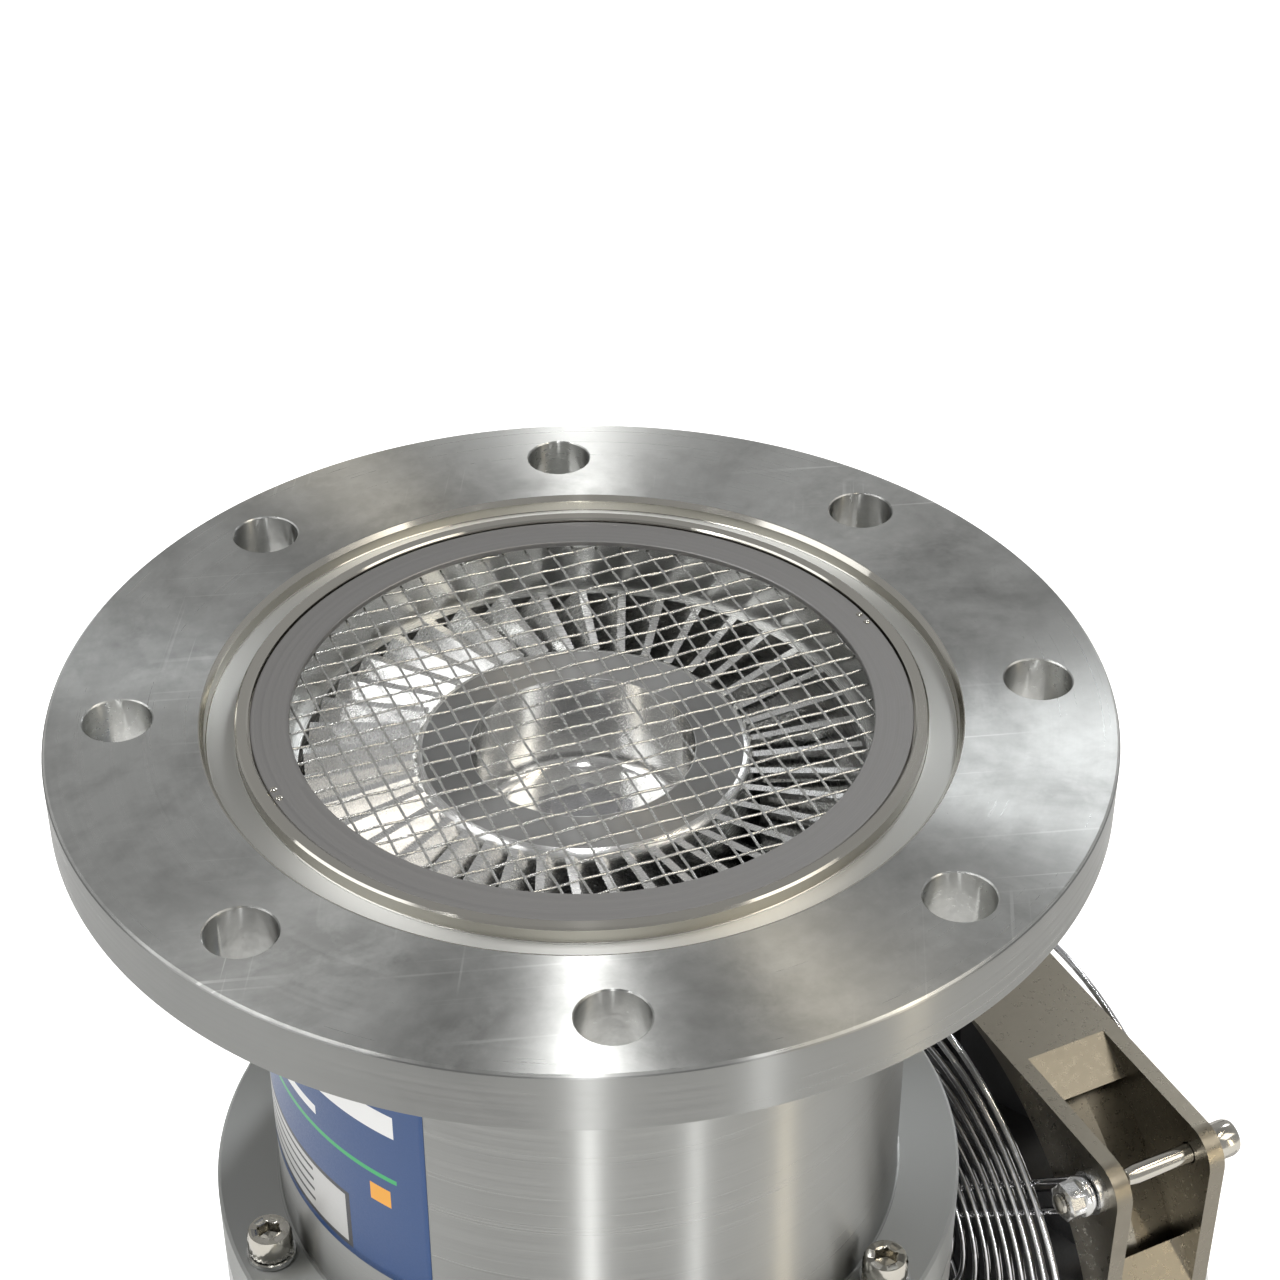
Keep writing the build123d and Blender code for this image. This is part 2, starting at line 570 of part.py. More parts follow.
def exhaust_port():
    """Small-flange nozzle on a square plate, pointing along +Y."""
    bore, pipe, rim = PORT_BORE / 2, PORT_TUBE_DIA / 2, PORT_FLANGE_DIA / 2
    taper = (rim - pipe) * math.tan(math.radians(15))
    length = PORT_REACH - PAD_FACE
    nozzle = turned([
        (bore, 0), (pipe, 0), (pipe, length - PORT_RIM - taper), (rim, length - PORT_RIM), (rim, length),
        (bore, length),
    ])
    plate = Pos(0, 0, PORT_PLATE_THICK / 2) * Box(PORT_PLATE, PORT_PLATE - 10, PORT_PLATE_THICK)
    plate = fillet(plate.edges().filter_by(Axis.Z), 6)
    body = nozzle + (plate - Cylinder(bore, 4 * PORT_PLATE_THICK))
    drill = Cylinder(PORT_SCREW_DIA / 2 + FIT, 4 * PORT_PLATE_THICK)
    body -= [Pos(x, -z, 0) * drill for x, z in PORT_SCREW_SPOTS]
    return Pos(0, PAD_FACE, PORT_Z) * Rot(-90, 0, 0) * body


def port_screws():
    screw = socket_screw(PORT_SCREW_DIA, 7.0, 4.0, 3.0, PORT_PLATE_THICK + 5)
    face = Pos(0, PAD_FACE, PORT_Z) * Rot(-90, 0, 0)
    return group([face * Pos(x, -z, PORT_PLATE_THICK) * screw for x, z in PORT_SCREW_SPOTS])


def power_connector():
    """Round multi-pin receptacle shell on a square flange, pointing along -Y."""
    shell = CONNECTOR_SHELL_DIA / 2
    plate = Box(CONNECTOR_PLATE, CONNECTOR_PLATE - 2, CONNECTOR_PLATE_THICK)
    plate = Pos(0, 0, CONNECTOR_PLATE_THICK / 2) * plate
    plate = fillet(plate.edges().filter_by(Axis.Z), 3)
    height = CONNECTOR_PLATE_THICK + CONNECTOR_SHELL_LENGTH
    barrel = Pos(0, 0, height / 2) * Cylinder(shell, height)
    body = plate + barrel
    body -= Pos(0, 0, CONNECTOR_PLATE_THICK + height / 2) * Cylinder(shell - CONNECTOR_WALL, height)
    body -= [Pos(x, z, 0) * Cylinder(CONNECTOR_SCREW_DIA / 2 + FIT, 10) for x, z in CONNECTOR_SCREW_SPOTS]
    return Pos(0, -PAD_FACE, CONNECTOR_Z) * Rot(90, 0, 0) * body


def connector_screws():
    screw = socket_screw(CONNECTOR_SCREW_DIA, 5.5, 3.0, 2.5, CONNECTOR_PLATE_THICK + 4)
    face = Pos(0, -PAD_FACE, CONNECTOR_Z) * Rot(90, 0, 0)
    return group([face * Pos(x, z, CONNECTOR_PLATE_THICK) * screw for x, z in CONNECTOR_SCREW_SPOTS])


def connector_insert():
    """Insulating insert with its contact pins."""
    core = CONNECTOR_SHELL_DIA / 2 - CONNECTOR_WALL - SEAT
    insert = Pos(0, 0, 3) * Cylinder(core, 6)
    pin = Pos(core - 3.5, 0, 9) * Cylinder(0.8, 6)
    insert = insert + [turn * pin for turn in around(CONNECTOR_PINS)]
    return Pos(0, -PAD_FACE - CONNECTOR_PLATE_THICK, CONNECTOR_Z) * Rot(90, 0, 0) * insert


def vent_plug():
    hexagon = extrude(RegularPolygon(8.5, 6, major_radius=False), 6)
    plug = hexagon + Pos(0, 0, -6) * Cylinder(VENT_PLUG_DIA / 2 - SEAT, 12)
    return Rot(0, 0, VENT_ANGLE) * Pos(FIN_DIA / 2, 0, PORT_Z) * Rot(0, 90, 0) * plug


# ---------------------------------------------------------------- fan
def fan_place(shape):
    """Moves a shape from the fan's own frame, axis +Z from the inner face, to its place on +X."""
    return Plane(origin=(FAN_FACE_X, 0, FAN_CENTRE_Z), x_dir=(0, 1, 0), z_dir=(1, 0, 0)) * shape


def corner_spots():
    return [(x * HALF_HOLES, y * HALF_HOLES) for x in (-1, 1) for y in (-1, 1)]


def fan_frame():
    """Square die-cast frame: two end flanges, a duct drafted from both ends and a flat pad on each side."""
    half, duct = FAN_SIZE / 2, FAN_DUCT_DIA / 2
    square = extrude(RectangleRounded(FAN_SIZE, FAN_SIZE, FAN_CORNER), FAN_DEPTH)
    flange = extrude(RectangleRounded(FAN_SIZE, FAN_SIZE, FAN_CORNER), FAN_FLANGE)
    edge, middle = duct + DUCT_WALL_EDGE, duct + DUCT_WALL_MIDDLE
    barrel = turned([(0, 0), (edge, 0), (middle, FAN_DEPTH / 2), (edge, FAN_DEPTH), (0, FAN_DEPTH)])
    barrel = barrel & square
    pad_in = duct - 2
    wedge = Polyline((-FAN_SIDE_PAD / 2 - 9, pad_in), (-FAN_SIDE_PAD / 2, half), (FAN_SIDE_PAD / 2, half),
                     (FAN_SIDE_PAD / 2 + 9, pad_in), close=True)
    pad = extrude(make_face(wedge), FAN_DEPTH)
    pads = [turn * pad for turn in around(4)]
    body = barrel + flange + Pos(0, 0, FAN_DEPTH - FAN_FLANGE) * flange + pads
    flare = 2.2
    bore = turned([
        (0, -1), (duct + flare, -1), (duct + flare, 0), (duct, 5), (duct, FAN_DEPTH - 5),
        (duct + flare, FAN_DEPTH), (duct + flare, FAN_DEPTH + 1), (0, FAN_DEPTH + 1),
    ])
    body -= bore
    drill = Cylinder(FAN_HOLE_DIA / 2, 3 * FAN_DEPTH)
    body -= [Pos(x, y, 0) * drill for x, y in corner_spots()]
    # Struts on the outer side carry the motor plate.
    strut_length = duct + 1.0
    strut = Box(strut_length, STRUT_WIDTH, STRUT_THICK)
    strut = Pos(strut_length / 2, 0, FAN_DEPTH - STRUT_THICK / 2) * strut
    struts = [turn * strut for turn in around(FAN_STRUTS, 20)]
    plate = Pos(0, 0, FAN_DEPTH - STRUT_THICK / 2) * Cylinder(FAN_HUB_DIA / 2, STRUT_THICK)
    return fan_place(body + struts + plate)


def fan_motor():
    """Fixed stator inside the hub, with the bearing stub the impeller turns on."""
    hub_front = FAN_DEPTH - STRUT_THICK - 1.0 - FAN_HUB_DEPTH
    stator_low = hub_front + 4.0
    top = FAN_DEPTH - STRUT_THICK
    stator = Pos(0, 0, (stator_low + top) / 2) * Cylinder(FAN_MOTOR_DIA / 2, top - stator_low)
    return fan_place(stator - Pos(0, 0, (stator_low + top) / 2) * Cylinder(3.0 + RUN, top - stator_low))


def fan_impeller():
    """Cup-shaped hub with curved blades and a central pin that runs in the motor."""
    hub_low = FAN_DEPTH - STRUT_THICK - 1.0 - FAN_HUB_DEPTH
    hub_high = hub_low + FAN_HUB_DEPTH
    hub = FAN_HUB_DIA / 2
    cup = turned([
        (0, hub_low), (hub - 3, hub_low), (hub, hub_low + 3), (hub, hub_high), (hub - 2.5, hub_high),
        (hub - 2.5, hub_low + 3), (3.0, hub_low + 3), (3.0, hub_high), (0, hub_high),
    ])
    tip = FAN_DUCT_DIA / 2 - FAN_TIP_GAP
    blades = []
    for turn in around(FAN_BLADES):
        blades.append(turn * fan_blade(hub - 1.5, tip, hub_low + 0.8, FAN_HUB_DEPTH - 1.6))
    return fan_place(cup + blades)


def fan_blade(root, tip, low, height):
    """Blade lofted from a steep chord at the hub to a flatter, longer chord at the tip."""
    sections = []
    for radius, spread in ((root, 9.0), (tip, 17.0)):
        reach = math.sqrt(radius ** 2 - spread ** 2) if radius == tip else radius
        plane = Plane(origin=(reach, 0, low), x_dir=(0, 1, 0), z_dir=(1, 0, 0))
        sag, thick = 1.6, FAN_BLADE_THICK
        lower = ThreePointArc((-spread, 0), (sag, height / 2 - sag), (spread, height - thick))
        upper = ThreePointArc((spread, height), (sag, height / 2 - sag + thick), (-spread, thick))
        right = Line((spread, height - thick), (spread, height))
        left = Line((-spread, thick), (-spread, 0))
        sections.append(plane * make_face([lower, right, upper, left]))
    return loft(sections, ruled=True)


def finger_guard():
    """Wire rings at level 0 on four pairs of arms, each pair ending in an eye round a screw."""
    wire = GUARD_WIRE
    rings = []
    for index in range(GUARD_RINGS):
        radius = GUARD_OUTER_R - index * GUARD_RING_PITCH
        rings.append(tube(2 * radius + wire, 2 * radius - wire, 0, wire))
    body = rings[0] + rings[1:]
    start = GUARD_OUTER_R - (GUARD_RINGS - 1) * GUARD_RING_PITCH
    eye = HALF_HOLES * math.sqrt(2)
    offset = GUARD_ARM_GAP / 2
    low = -wire
    arms = []
    for side in (-1, 1):
        rod = Pos((start + eye) / 2, side * offset, low + wire / 2) * Box(eye - start, wire, wire)
        arms.append(rod)
    loop = tube(GUARD_ARM_GAP + wire, GUARD_ARM_GAP - wire, low, 0)
    loop -= Pos(-offset - wire, 0, low + wire / 2) * Box(2 * offset + 2 * wire, 4 * offset, 2 * wire)
    arms.append(Pos(eye, 0, 0) * loop)
    return body + [turn * arm for turn in around(4, 45) for arm in arms]


def inner_guard():
    """Guard on the pump side: arms against the spacers and bracket, rings towards the pump."""
    guard = Rot(180, 0, 0) * finger_guard()
    return fan_place(Pos(0, 0, -BRACKET_THICK - GUARD_WIRE) * guard)


def outer_guard():
    return fan_place(Pos(0, 0, FAN_DEPTH + GUARD_WIRE) * finger_guard())


def guard_spacers():
    """Washers that hold the inner guard's upper eyes off the frame by the bracket's thickness."""
    washer = tube(9.0, FAN_HOLE_DIA, -BRACKET_THICK, 0)
    return group([fan_place(Pos(x, y, 0) * washer) for x, y in corner_spots() if y > 0])


def fan_screws():
    """Long screws through the frame, heads on the outer guard."""
    top = FAN_DEPTH + GUARD_WIRE
    length = top + BRACKET_THICK + GUARD_WIRE + FAN_NUT_HEIGHT + 1.0
    screw = socket_screw(FAN_SCREW_DIA, FAN_SCREW_HEAD_DIA, FAN_SCREW_HEAD, 3.0, length)
    return group([fan_place(Pos(x, y, top) * screw) for x, y in corner_spots()])


def fan_nuts():
    """Flanged nuts on the pump side of the inner guard."""
    nut = extrude(RegularPolygon(3.5, 6, major_radius=False), FAN_NUT_HEIGHT)
    nut = nut + tube(8.4, 0, FAN_NUT_HEIGHT - 1.2, FAN_NUT_HEIGHT)
    nut -= Cylinder(FAN_SCREW_DIA / 2 + SEAT, 4 * FAN_NUT_HEIGHT)
    level = -BRACKET_THICK - GUARD_WIRE - FAN_NUT_HEIGHT
    return group([fan_place(Pos(x, y, level) * nut) for x, y in corner_spots()])


def fan_bracket():
    """Sheet bracket: a strip behind the lower fan corners and two arms on the base foot."""
    x_low = FAN_FACE_X - BRACKET_THICK
    strip_top = FAN_CENTRE_Z - HALF_HOLES + 9.0
    strip = Pos(x_low + BRACKET_THICK / 2, 0, (FAN_BOTTOM_Z + strip_top) / 2) * Box(
        BRACKET_THICK, FAN_SIZE, strip_top - FAN_BOTTOM_Z)
    duct = Cylinder(FAN_DUCT_DIA / 2 + 1, 4 * BRACKET_THICK)
    strip -= Pos(FAN_FACE_X, 0, FAN_CENTRE_Z) * Rot(0, 90, 0) * duct
    arm_start = 46.0
    arms = []
    for side in (-1, 1):
        middle = side * (ARM_INNER_Y + ARM_OUTER_Y) / 2
        arm = Pos((arm_start + FAN_FACE_X) / 2, middle, BASE_FOOT + BRACKET_THICK / 2) * Box(
            FAN_FACE_X - arm_start, ARM_OUTER_Y - ARM_INNER_Y, BRACKET_THICK)
        arm -= tube(BASE_BODY_DIA + 1, 0, 0, 2 * BASE_FOOT)
        arm -= Pos(ARM_SCREW[0], side * ARM_SCREW[1], BASE_FOOT) * Cylinder(2.2, 10)
        arms.append(arm)
    body = strip + arms
    for x, y in corner_spots():
        if y < 0:
            body -= fan_place(Pos(x, y, -BRACKET_THICK / 2) * Cylinder(FAN_HOLE_DIA / 2, 10))
    return body


def bracket_screws():
    screw = socket_screw(4.0, 7.0, 4.0, 3.0, BRACKET_THICK + 8)
    spots = [(ARM_SCREW[0], side * ARM_SCREW[1]) for side in (-1, 1)]
    return group([Pos(x, y, BASE_FOOT + BRACKET_THICK) * screw for x, y in spots])


# ---------------------------------------------------------------- the assembly
def assembly():
    parts = {
        "inlet_flange": inlet_flange(), "pump_casing": pump_casing(), "casing_screws": casing_screws(),
        "spring_washers": spring_washers(), "screen_ring": screen_ring(), "screen_mesh": screen_mesh(),
        "rotor": rotor(), "drag_sleeve": drag_sleeve(), "shaft": shaft(), "rotor_nut": rotor_nut(),
        "motor_magnet": motor_magnet(), "motor_housing": motor_housing(), "motor_core": motor_core(),
        "motor_windings": motor_windings(), "bearing_carrier": bearing_carrier(),
        "retaining_rings": retaining_rings(), "base_housing": base_housing(),
        "bottom_cover": bottom_cover(), "cover_screws": cover_screws(), "exhaust_port": exhaust_port(),
        "port_screws": port_screws(), "power_connector": power_connector(),
        "connector_insert": connector_insert(),
        "connector_screws": connector_screws(),
        "vent_plug": vent_plug(), "fan_frame": fan_frame(), "fan_motor": fan_motor(),
        "fan_impeller": fan_impeller(),
        "inner_guard": inner_guard(), "outer_guard": outer_guard(), "guard_spacers": guard_spacers(),
        "fan_screws": fan_screws(), "fan_nuts": fan_nuts(), "fan_bracket": fan_bracket(),
        "bracket_screws": bracket_screws(),
    }
    for index in range(len(STATOR_ROWS)):
        parts[f"spacer_ring_{index + 1}"] = spacer_ring(index)
        parts[f"stator_disc_{index + 1}"] = stator_disc(index)
    for name, level in (("upper", UPPER_BEARING_Z), ("lower", LOWER_BEARING_Z)):
        parts[f"{name}_bearing_outer"] = bearing_outer(level)
        parts[f"{name}_bearing_inner"] = bearing_inner(level)
        parts[f"{name}_ball_cage"] = ball_cage(level)
    return parts


os.makedirs("parts", exist_ok=True)
for node, shape in assembly().items():
    export_step(shape, f"parts/{node}.step")
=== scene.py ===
import json
import math

import bmesh
import bpy
from mathutils import Matrix, Vector


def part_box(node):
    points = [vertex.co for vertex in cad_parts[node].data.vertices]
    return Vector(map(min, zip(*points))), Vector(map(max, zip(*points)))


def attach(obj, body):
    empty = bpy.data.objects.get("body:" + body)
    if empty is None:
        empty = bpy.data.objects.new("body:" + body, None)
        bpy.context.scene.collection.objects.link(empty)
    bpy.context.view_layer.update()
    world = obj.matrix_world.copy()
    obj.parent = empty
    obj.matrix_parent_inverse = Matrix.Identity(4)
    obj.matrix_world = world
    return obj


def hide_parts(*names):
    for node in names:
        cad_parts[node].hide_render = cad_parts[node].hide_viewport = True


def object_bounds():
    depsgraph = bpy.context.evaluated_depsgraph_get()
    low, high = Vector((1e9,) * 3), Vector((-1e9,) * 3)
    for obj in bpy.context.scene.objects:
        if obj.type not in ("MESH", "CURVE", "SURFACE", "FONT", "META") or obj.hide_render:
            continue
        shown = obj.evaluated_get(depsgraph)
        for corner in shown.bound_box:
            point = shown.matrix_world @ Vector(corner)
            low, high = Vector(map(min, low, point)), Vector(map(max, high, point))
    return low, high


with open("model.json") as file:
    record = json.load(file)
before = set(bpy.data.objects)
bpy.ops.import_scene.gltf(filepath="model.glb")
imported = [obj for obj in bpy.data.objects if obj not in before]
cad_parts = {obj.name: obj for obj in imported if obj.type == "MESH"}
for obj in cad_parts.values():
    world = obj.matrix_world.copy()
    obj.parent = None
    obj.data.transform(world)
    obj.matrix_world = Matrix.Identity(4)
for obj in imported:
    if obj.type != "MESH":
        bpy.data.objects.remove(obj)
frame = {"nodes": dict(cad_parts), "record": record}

CAD_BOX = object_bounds()

bl_info = {
    "name": "Turbomolecular pump looks",
    "version": (1, 0, 0),
    "blender": (4, 5, 0),
    "location": "View3D > Sidebar > Pump",
    "description": "Dresses the pump's CAD frame with fine pieces, procedural metals and a plain studio",
    "category": "Object",
}

MM = 0.001

# Levels taken from the frame.
INLET_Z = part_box("inlet_flange")[1][2]
FLANGE_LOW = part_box("inlet_flange")[0][2]
FOOT_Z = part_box("spring_washers")[0][2]
CASING_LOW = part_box("pump_casing")[0][2]
SCREEN_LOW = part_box("screen_ring")[0][2]
FAN_CENTRE = Vector([(low + high) / 2 for low, high in zip(*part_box("fan_frame"))])

# Radii round the rotor's axis.
FLANGE_R = 92.5 * MM
INLET_BORE_R = 51.2 * MM
SEAT_R = 57.7 * MM
GROOVE_IN_R = 60.0 * MM
GROOVE_OUT_R = 65.3 * MM
BOLT_CIRCLE_R = 80.0 * MM
BOLT_HOLE_R = 6.0 * MM
SCREEN_BORE_R = 50.7 * MM
SCREEN_RIM_R = 57.45 * MM
STAKE_CIRCLE_R = 56.5 * MM
CASING_R = 60.0 * MM
CASING_BORE_R = 55.2 * MM
NECK_R = 62.2 * MM
FOOT_R = 72.2 * MM
FOOT_CIRCLE_R = 66.0 * MM
RECESS_R = 19.9 * MM
LAND_R = 28.3 * MM

# Other measures that more than one piece shares.
GROOVE_DEPTH = 3.0 * MM
SCREEN_THICK = 1.0 * MM
BOLT_HOLES = 8
FOOT_SCREWS = 6
WASHER_RISE = 1.4 * MM
FAN_HOLE_OFFSET = 52.5 * MM
PUMP_SIDE_GUARD_R = 55.5 * MM
OUTER_SIDE_GUARD_R = 59.4 * MM
GUARD_ARM_GAP = 6.0 * MM

# The camera, and the level direction in which it looks.
CAMERA_PLACE = (-0.16472, -0.34827, 0.28661 + INLET_Z)
CAMERA_TILT = math.radians(54.572)
CAMERA_TURN = math.radians(-26.8)
CAMERA_LENS = 77.82
LOOK_ANGLE = math.radians(64.7)


# ---------------------------------------------------------------- settings a user would change
class PumpSizes(bpy.types.PropertyGroup):
    mesh_pitch: bpy.props.FloatProperty(
        name="Mesh pitch", description="Distance between the screen's wires", default=4.233 * MM,
        unit="LENGTH")
    mesh_wire: bpy.props.FloatProperty(
        name="Mesh wire", description="Diameter of the screen's wires", default=0.5 * MM, unit="LENGTH")
    guard_wire: bpy.props.FloatProperty(
        name="Guard wire", description="Diameter of the finger guards' wires", default=1.5 * MM,
        unit="LENGTH")
    guard_pitch: bpy.props.FloatProperty(
        name="Guard pitch", description="Distance between the guards' rings", default=4.7 * MM, unit="LENGTH")
    label_low: bpy.props.FloatProperty(
        name="Label bottom", description="Height of the label's lower edge", default=140 * MM, unit="LENGTH")
    label_high: bpy.props.FloatProperty(
        name="Label top", description="Height of the label's upper edge", default=192 * MM, unit="LENGTH")
    label_spread: bpy.props.FloatProperty(
        name="Label spread", description="Angle the label covers round the casing", default=math.radians(74),
        subtype="ANGLE", unit="ROTATION")


class PumpColours(bpy.types.PropertyGroup):
    steel: bpy.props.FloatVectorProperty(
        name="Steel", description="Colour of the flange and casing", default=(0.51, 0.515, 0.50),
        subtype="COLOR")
    stain: bpy.props.FloatVectorProperty(
        name="Stain", description="Colour of the stains on the steel", default=(0.30, 0.30, 0.29),
        subtype="COLOR")
    screen: bpy.props.FloatVectorProperty(
        name="Screen ring", description="Colour of the screen's ring", default=(0.27, 0.265, 0.26),
        subtype="COLOR")
    rotor: bpy.props.FloatVectorProperty(
        name="Rotor", description="Colour of the bladed rotor", default=(0.74, 0.74, 0.73), subtype="COLOR")
    casting: bpy.props.FloatVectorProperty(
        name="Fan casting", description="Colour of the fan's cast frame", default=(0.23, 0.21, 0.17),
        subtype="COLOR")
    label: bpy.props.FloatVectorProperty(
        name="Label", description="Ground colour of the label", default=(0.018, 0.062, 0.19), subtype="COLOR")
    backdrop: bpy.props.FloatVectorProperty(
        name="Backdrop", description="Colour of the floor and surroundings", default=(0.93, 0.93, 0.93),
        subtype="COLOR")


# ---------------------------------------------------------------- node graph helpers
class Graph:
    """Adds shader nodes; an input may be a constant or another node's output."""

    def __init__(self, tree):
        self.tree = tree

    def add(self, kind, inputs=None, **settings):
        made = self.tree.nodes.new(kind)
        for key, value in settings.items():
            setattr(made, key, value)
        for key, value in (inputs or {}).items():
            if isinstance(value, bpy.types.NodeSocket):
                self.tree.links.new(value, made.inputs[key])
            else:
                made.inputs[key].default_value = value
        return made

    def math(self, operation, a, b=0.0, clamp=False):
        return self.add("ShaderNodeMath", {0: a, 1: b}, operation=operation, use_clamp=clamp).outputs[0]

    def ramp(self, value, low, high, start=0.0, end=1.0):
        """Maps low..high to start..end, held outside it."""
        made = self.add("ShaderNodeMapRange", {"Value": value, "From Min": low, "From Max": high,
                                               "To Min": start, "To Max": end})
        return made.outputs["Result"]

    def mix(self, factor, a, b):
        made = self.add("ShaderNodeMix", {0: factor, 6: a, 7: b}, data_type="RGBA")
        return made.outputs[2]

    def blend(self, factor, a, b):
        return self.add("ShaderNodeMix", {0: factor, 2: a, 3: b}, data_type="FLOAT").outputs[0]

    def noise(self, vector, scale, detail=3.0, rough=0.5, distortion=0.0):
        made = self.add("ShaderNodeTexNoise", {"Vector": vector, "Scale": scale, "Detail": detail,
                                               "Roughness": rough, "Distortion": distortion})
        return made.outputs["Fac"]

    def group(self, name, inputs):
        made = self.add("ShaderNodeGroup", node_tree=GROUPS[name])
        for key, value in inputs.items():
            if isinstance(value, bpy.types.NodeSocket):
                self.tree.links.new(value, made.inputs[key])
            else:
                made.inputs[key].default_value = value
        return made.outputs


GROUPS = {}


def new_group(name, inputs, outputs):
    """Starts a shader node group and gives its graph, inputs and outputs."""
    tree = bpy.data.node_groups.new(name, "ShaderNodeTree")
    for label, kind, value in inputs:
        socket = tree.interface.new_socket(name=label, in_out="INPUT", socket_type=kind)
        if value is not None:
            socket.default_value = value
    for label, kind in outputs:
        tree.interface.new_socket(name=label, in_out="OUTPUT", socket_type=kind)
    graph = Graph(tree)
    start = graph.add("NodeGroupInput").outputs
    end = graph.add("NodeGroupOutput").inputs
    GROUPS[name] = tree
    return graph, start, end


def polar(graph, vector):
    """Radius, angle and height round the vertical axis."""
    split = graph.add("ShaderNodeSeparateXYZ", {0: vector}).outputs
    squares = [graph.math("MULTIPLY", part, part) for part in (split[0], split[1])]
    radius = graph.math("SQRT", graph.math("ADD", squares[0], squares[1]))
    return radius, graph.math("ARCTAN2", split[1], split[0]), split[2]


def build_groups():
    """The effects that several materials share."""
    value, vector = "NodeSocketFloat", "NodeSocketVector"
    # Fine rings left by turning, about the vertical axis.
    graph, start, end = new_group(
        "TurningMarks", [("Vector", vector, None), ("Density", value, 900.0), ("Strength", value, 0.2)],
        [("Mask", value), ("Normal", vector)])
    radius, angle, height = polar(graph, start["Vector"])
    across = graph.math("MULTIPLY", radius, start["Density"])
    up = graph.math("MULTIPLY", height, start["Density"])
    along = graph.math("MULTIPLY", angle, 0.12)
    place = graph.add("ShaderNodeCombineXYZ", {0: across, 1: up, 2: along}).outputs[0]
    mask = graph.noise(place, 1.0, 4.0, 0.65)
    bump = graph.add("ShaderNodeBump", {"Strength": start["Strength"], "Distance": 0.014 * MM,
                                        "Height": mask})
    graph.tree.links.new(mask, end["Mask"])
    graph.tree.links.new(bump.outputs[0], end["Normal"])
    # Cloudy stains with broken edges.
    graph, start, end = new_group(
        "Stains", [("Vector", vector, None), ("Scale", value, 30.0), ("Cover", value, 0.45)],
        [("Mask", value)])
    wide = graph.noise(start["Vector"], start["Scale"], 6.0, 0.62, 0.6)
    fine = graph.noise(start["Vector"], graph.math("MULTIPLY", start["Scale"], 9.0), 3.0, 0.6)
    total = graph.math("ADD", graph.math("MULTIPLY", wide, 0.8), graph.math("MULTIPLY", fine, 0.2))
    low = graph.math("SUBTRACT", 1.0, start["Cover"])
    sharp = graph.ramp(graph.math("SUBTRACT", total, low), -0.06, 0.16)
    graph.tree.links.new(sharp, end["Mask"])
    # Thin straight scratches, broken up along their length.
    graph, start, end = new_group(
        "Scratches",
        [("Vector", vector, None), ("Turn", value, 0.0), ("Scale", value, 1.0), ("Cover", value, 0.4)],
        [("Mask", value)])
    turned = graph.add("ShaderNodeVectorRotate", {"Vector": start["Vector"], "Angle": start["Turn"]},
                       rotation_type="Z_AXIS").outputs[0]
    bent = graph.add("ShaderNodeMapping", {"Vector": turned, "Scale": (14.0, 900.0, 14.0)}).outputs[0]
    line = graph.noise(graph.add("ShaderNodeVectorMath", {0: bent, 3: start["Scale"]},
                                 operation="SCALE").outputs[0], 1.0, 1.0, 0.4, 0.4)
    place = graph.noise(turned, 26.0, 2.0, 0.5)
    here = graph.ramp(place, graph.math("SUBTRACT", 1.0, start["Cover"]), 0.78)
    hair = graph.ramp(line, 0.66, 0.72)
    graph.tree.links.new(graph.math("MULTIPLY", hair, here, True), end["Mask"])
    # Soft grain of a cast or moulded skin.
    graph, start, end = new_group(
        "Skin", [("Vector", vector, None), ("Scale", value, 900.0), ("Strength", value, 0.3)],
        [("Mask", value), ("Normal", vector)])
    mask = graph.noise(start["Vector"], start["Scale"], 4.0, 0.6)
    bump = graph.add("ShaderNodeBump", {"Strength": start["Strength"], "Distance": 0.12 * MM, "Height": mask})
    graph.tree.links.new(mask, end["Mask"])
    graph.tree.links.new(bump.outputs[0], end["Normal"])
    # One where the radius lies in a band, softened at both ends.
    graph, start, end = new_group(
        "RadialBand", [("Vector", vector, None), ("Inner", value, 0.0), ("Outer", value, 0.01)],
        [("Mask", value)])
    radius = polar(graph, start["Vector"])[0]
    soft = 0.1 * MM
    rise = graph.math("DIVIDE", graph.math("SUBTRACT", radius, start["Inner"]), soft, True)
    fall = graph.math("DIVIDE", graph.math("SUBTRACT", start["Outer"], radius), soft, True)
    graph.tree.links.new(graph.math("MULTIPLY", rise, fall), end["Mask"])
    # One inside a rectangle of the UV map.
    graph, start, end = new_group(
        "Panel", [("Vector", vector, None), ("Left", value, 0.0), ("Right", value, 1.0), ("Low", value, 0.0),
                  ("High", value, 1.0)], [("Mask", value)])
    split = graph.add("ShaderNodeSeparateXYZ", {0: start["Vector"]}).outputs
    inside = graph.math("MULTIPLY", graph.math("GREATER_THAN", split[0], start["Left"]),
                        graph.math("LESS_THAN", split[0], start["Right"]))
    tall = graph.math("MULTIPLY", graph.math("GREATER_THAN", split[1], start["Low"]),
                      graph.math("LESS_THAN", split[1], start["High"]))
    graph.tree.links.new(graph.math("MULTIPLY", inside, tall), end["Mask"])


def start_material(name):
    """A material with one Principled shader and object coordinates."""
    made = bpy.data.materials.new(name)
    made.use_nodes = True
    tree = made.node_tree
    tree.nodes.clear()
    graph = Graph(tree)
    shader = graph.add("ShaderNodeBsdfPrincipled")
    graph.add("ShaderNodeOutputMaterial", {"Surface": shader.outputs[0]})
    place = graph.add("ShaderNodeTexCoord").outputs["Object"]
    return made, graph, shader, place


def rgba(colour, gain=1.0):
    """A colour with its strength changed, as a socket takes it."""
    return (colour[0] * gain, colour[1] * gain, colour[2] * gain, 1.0)


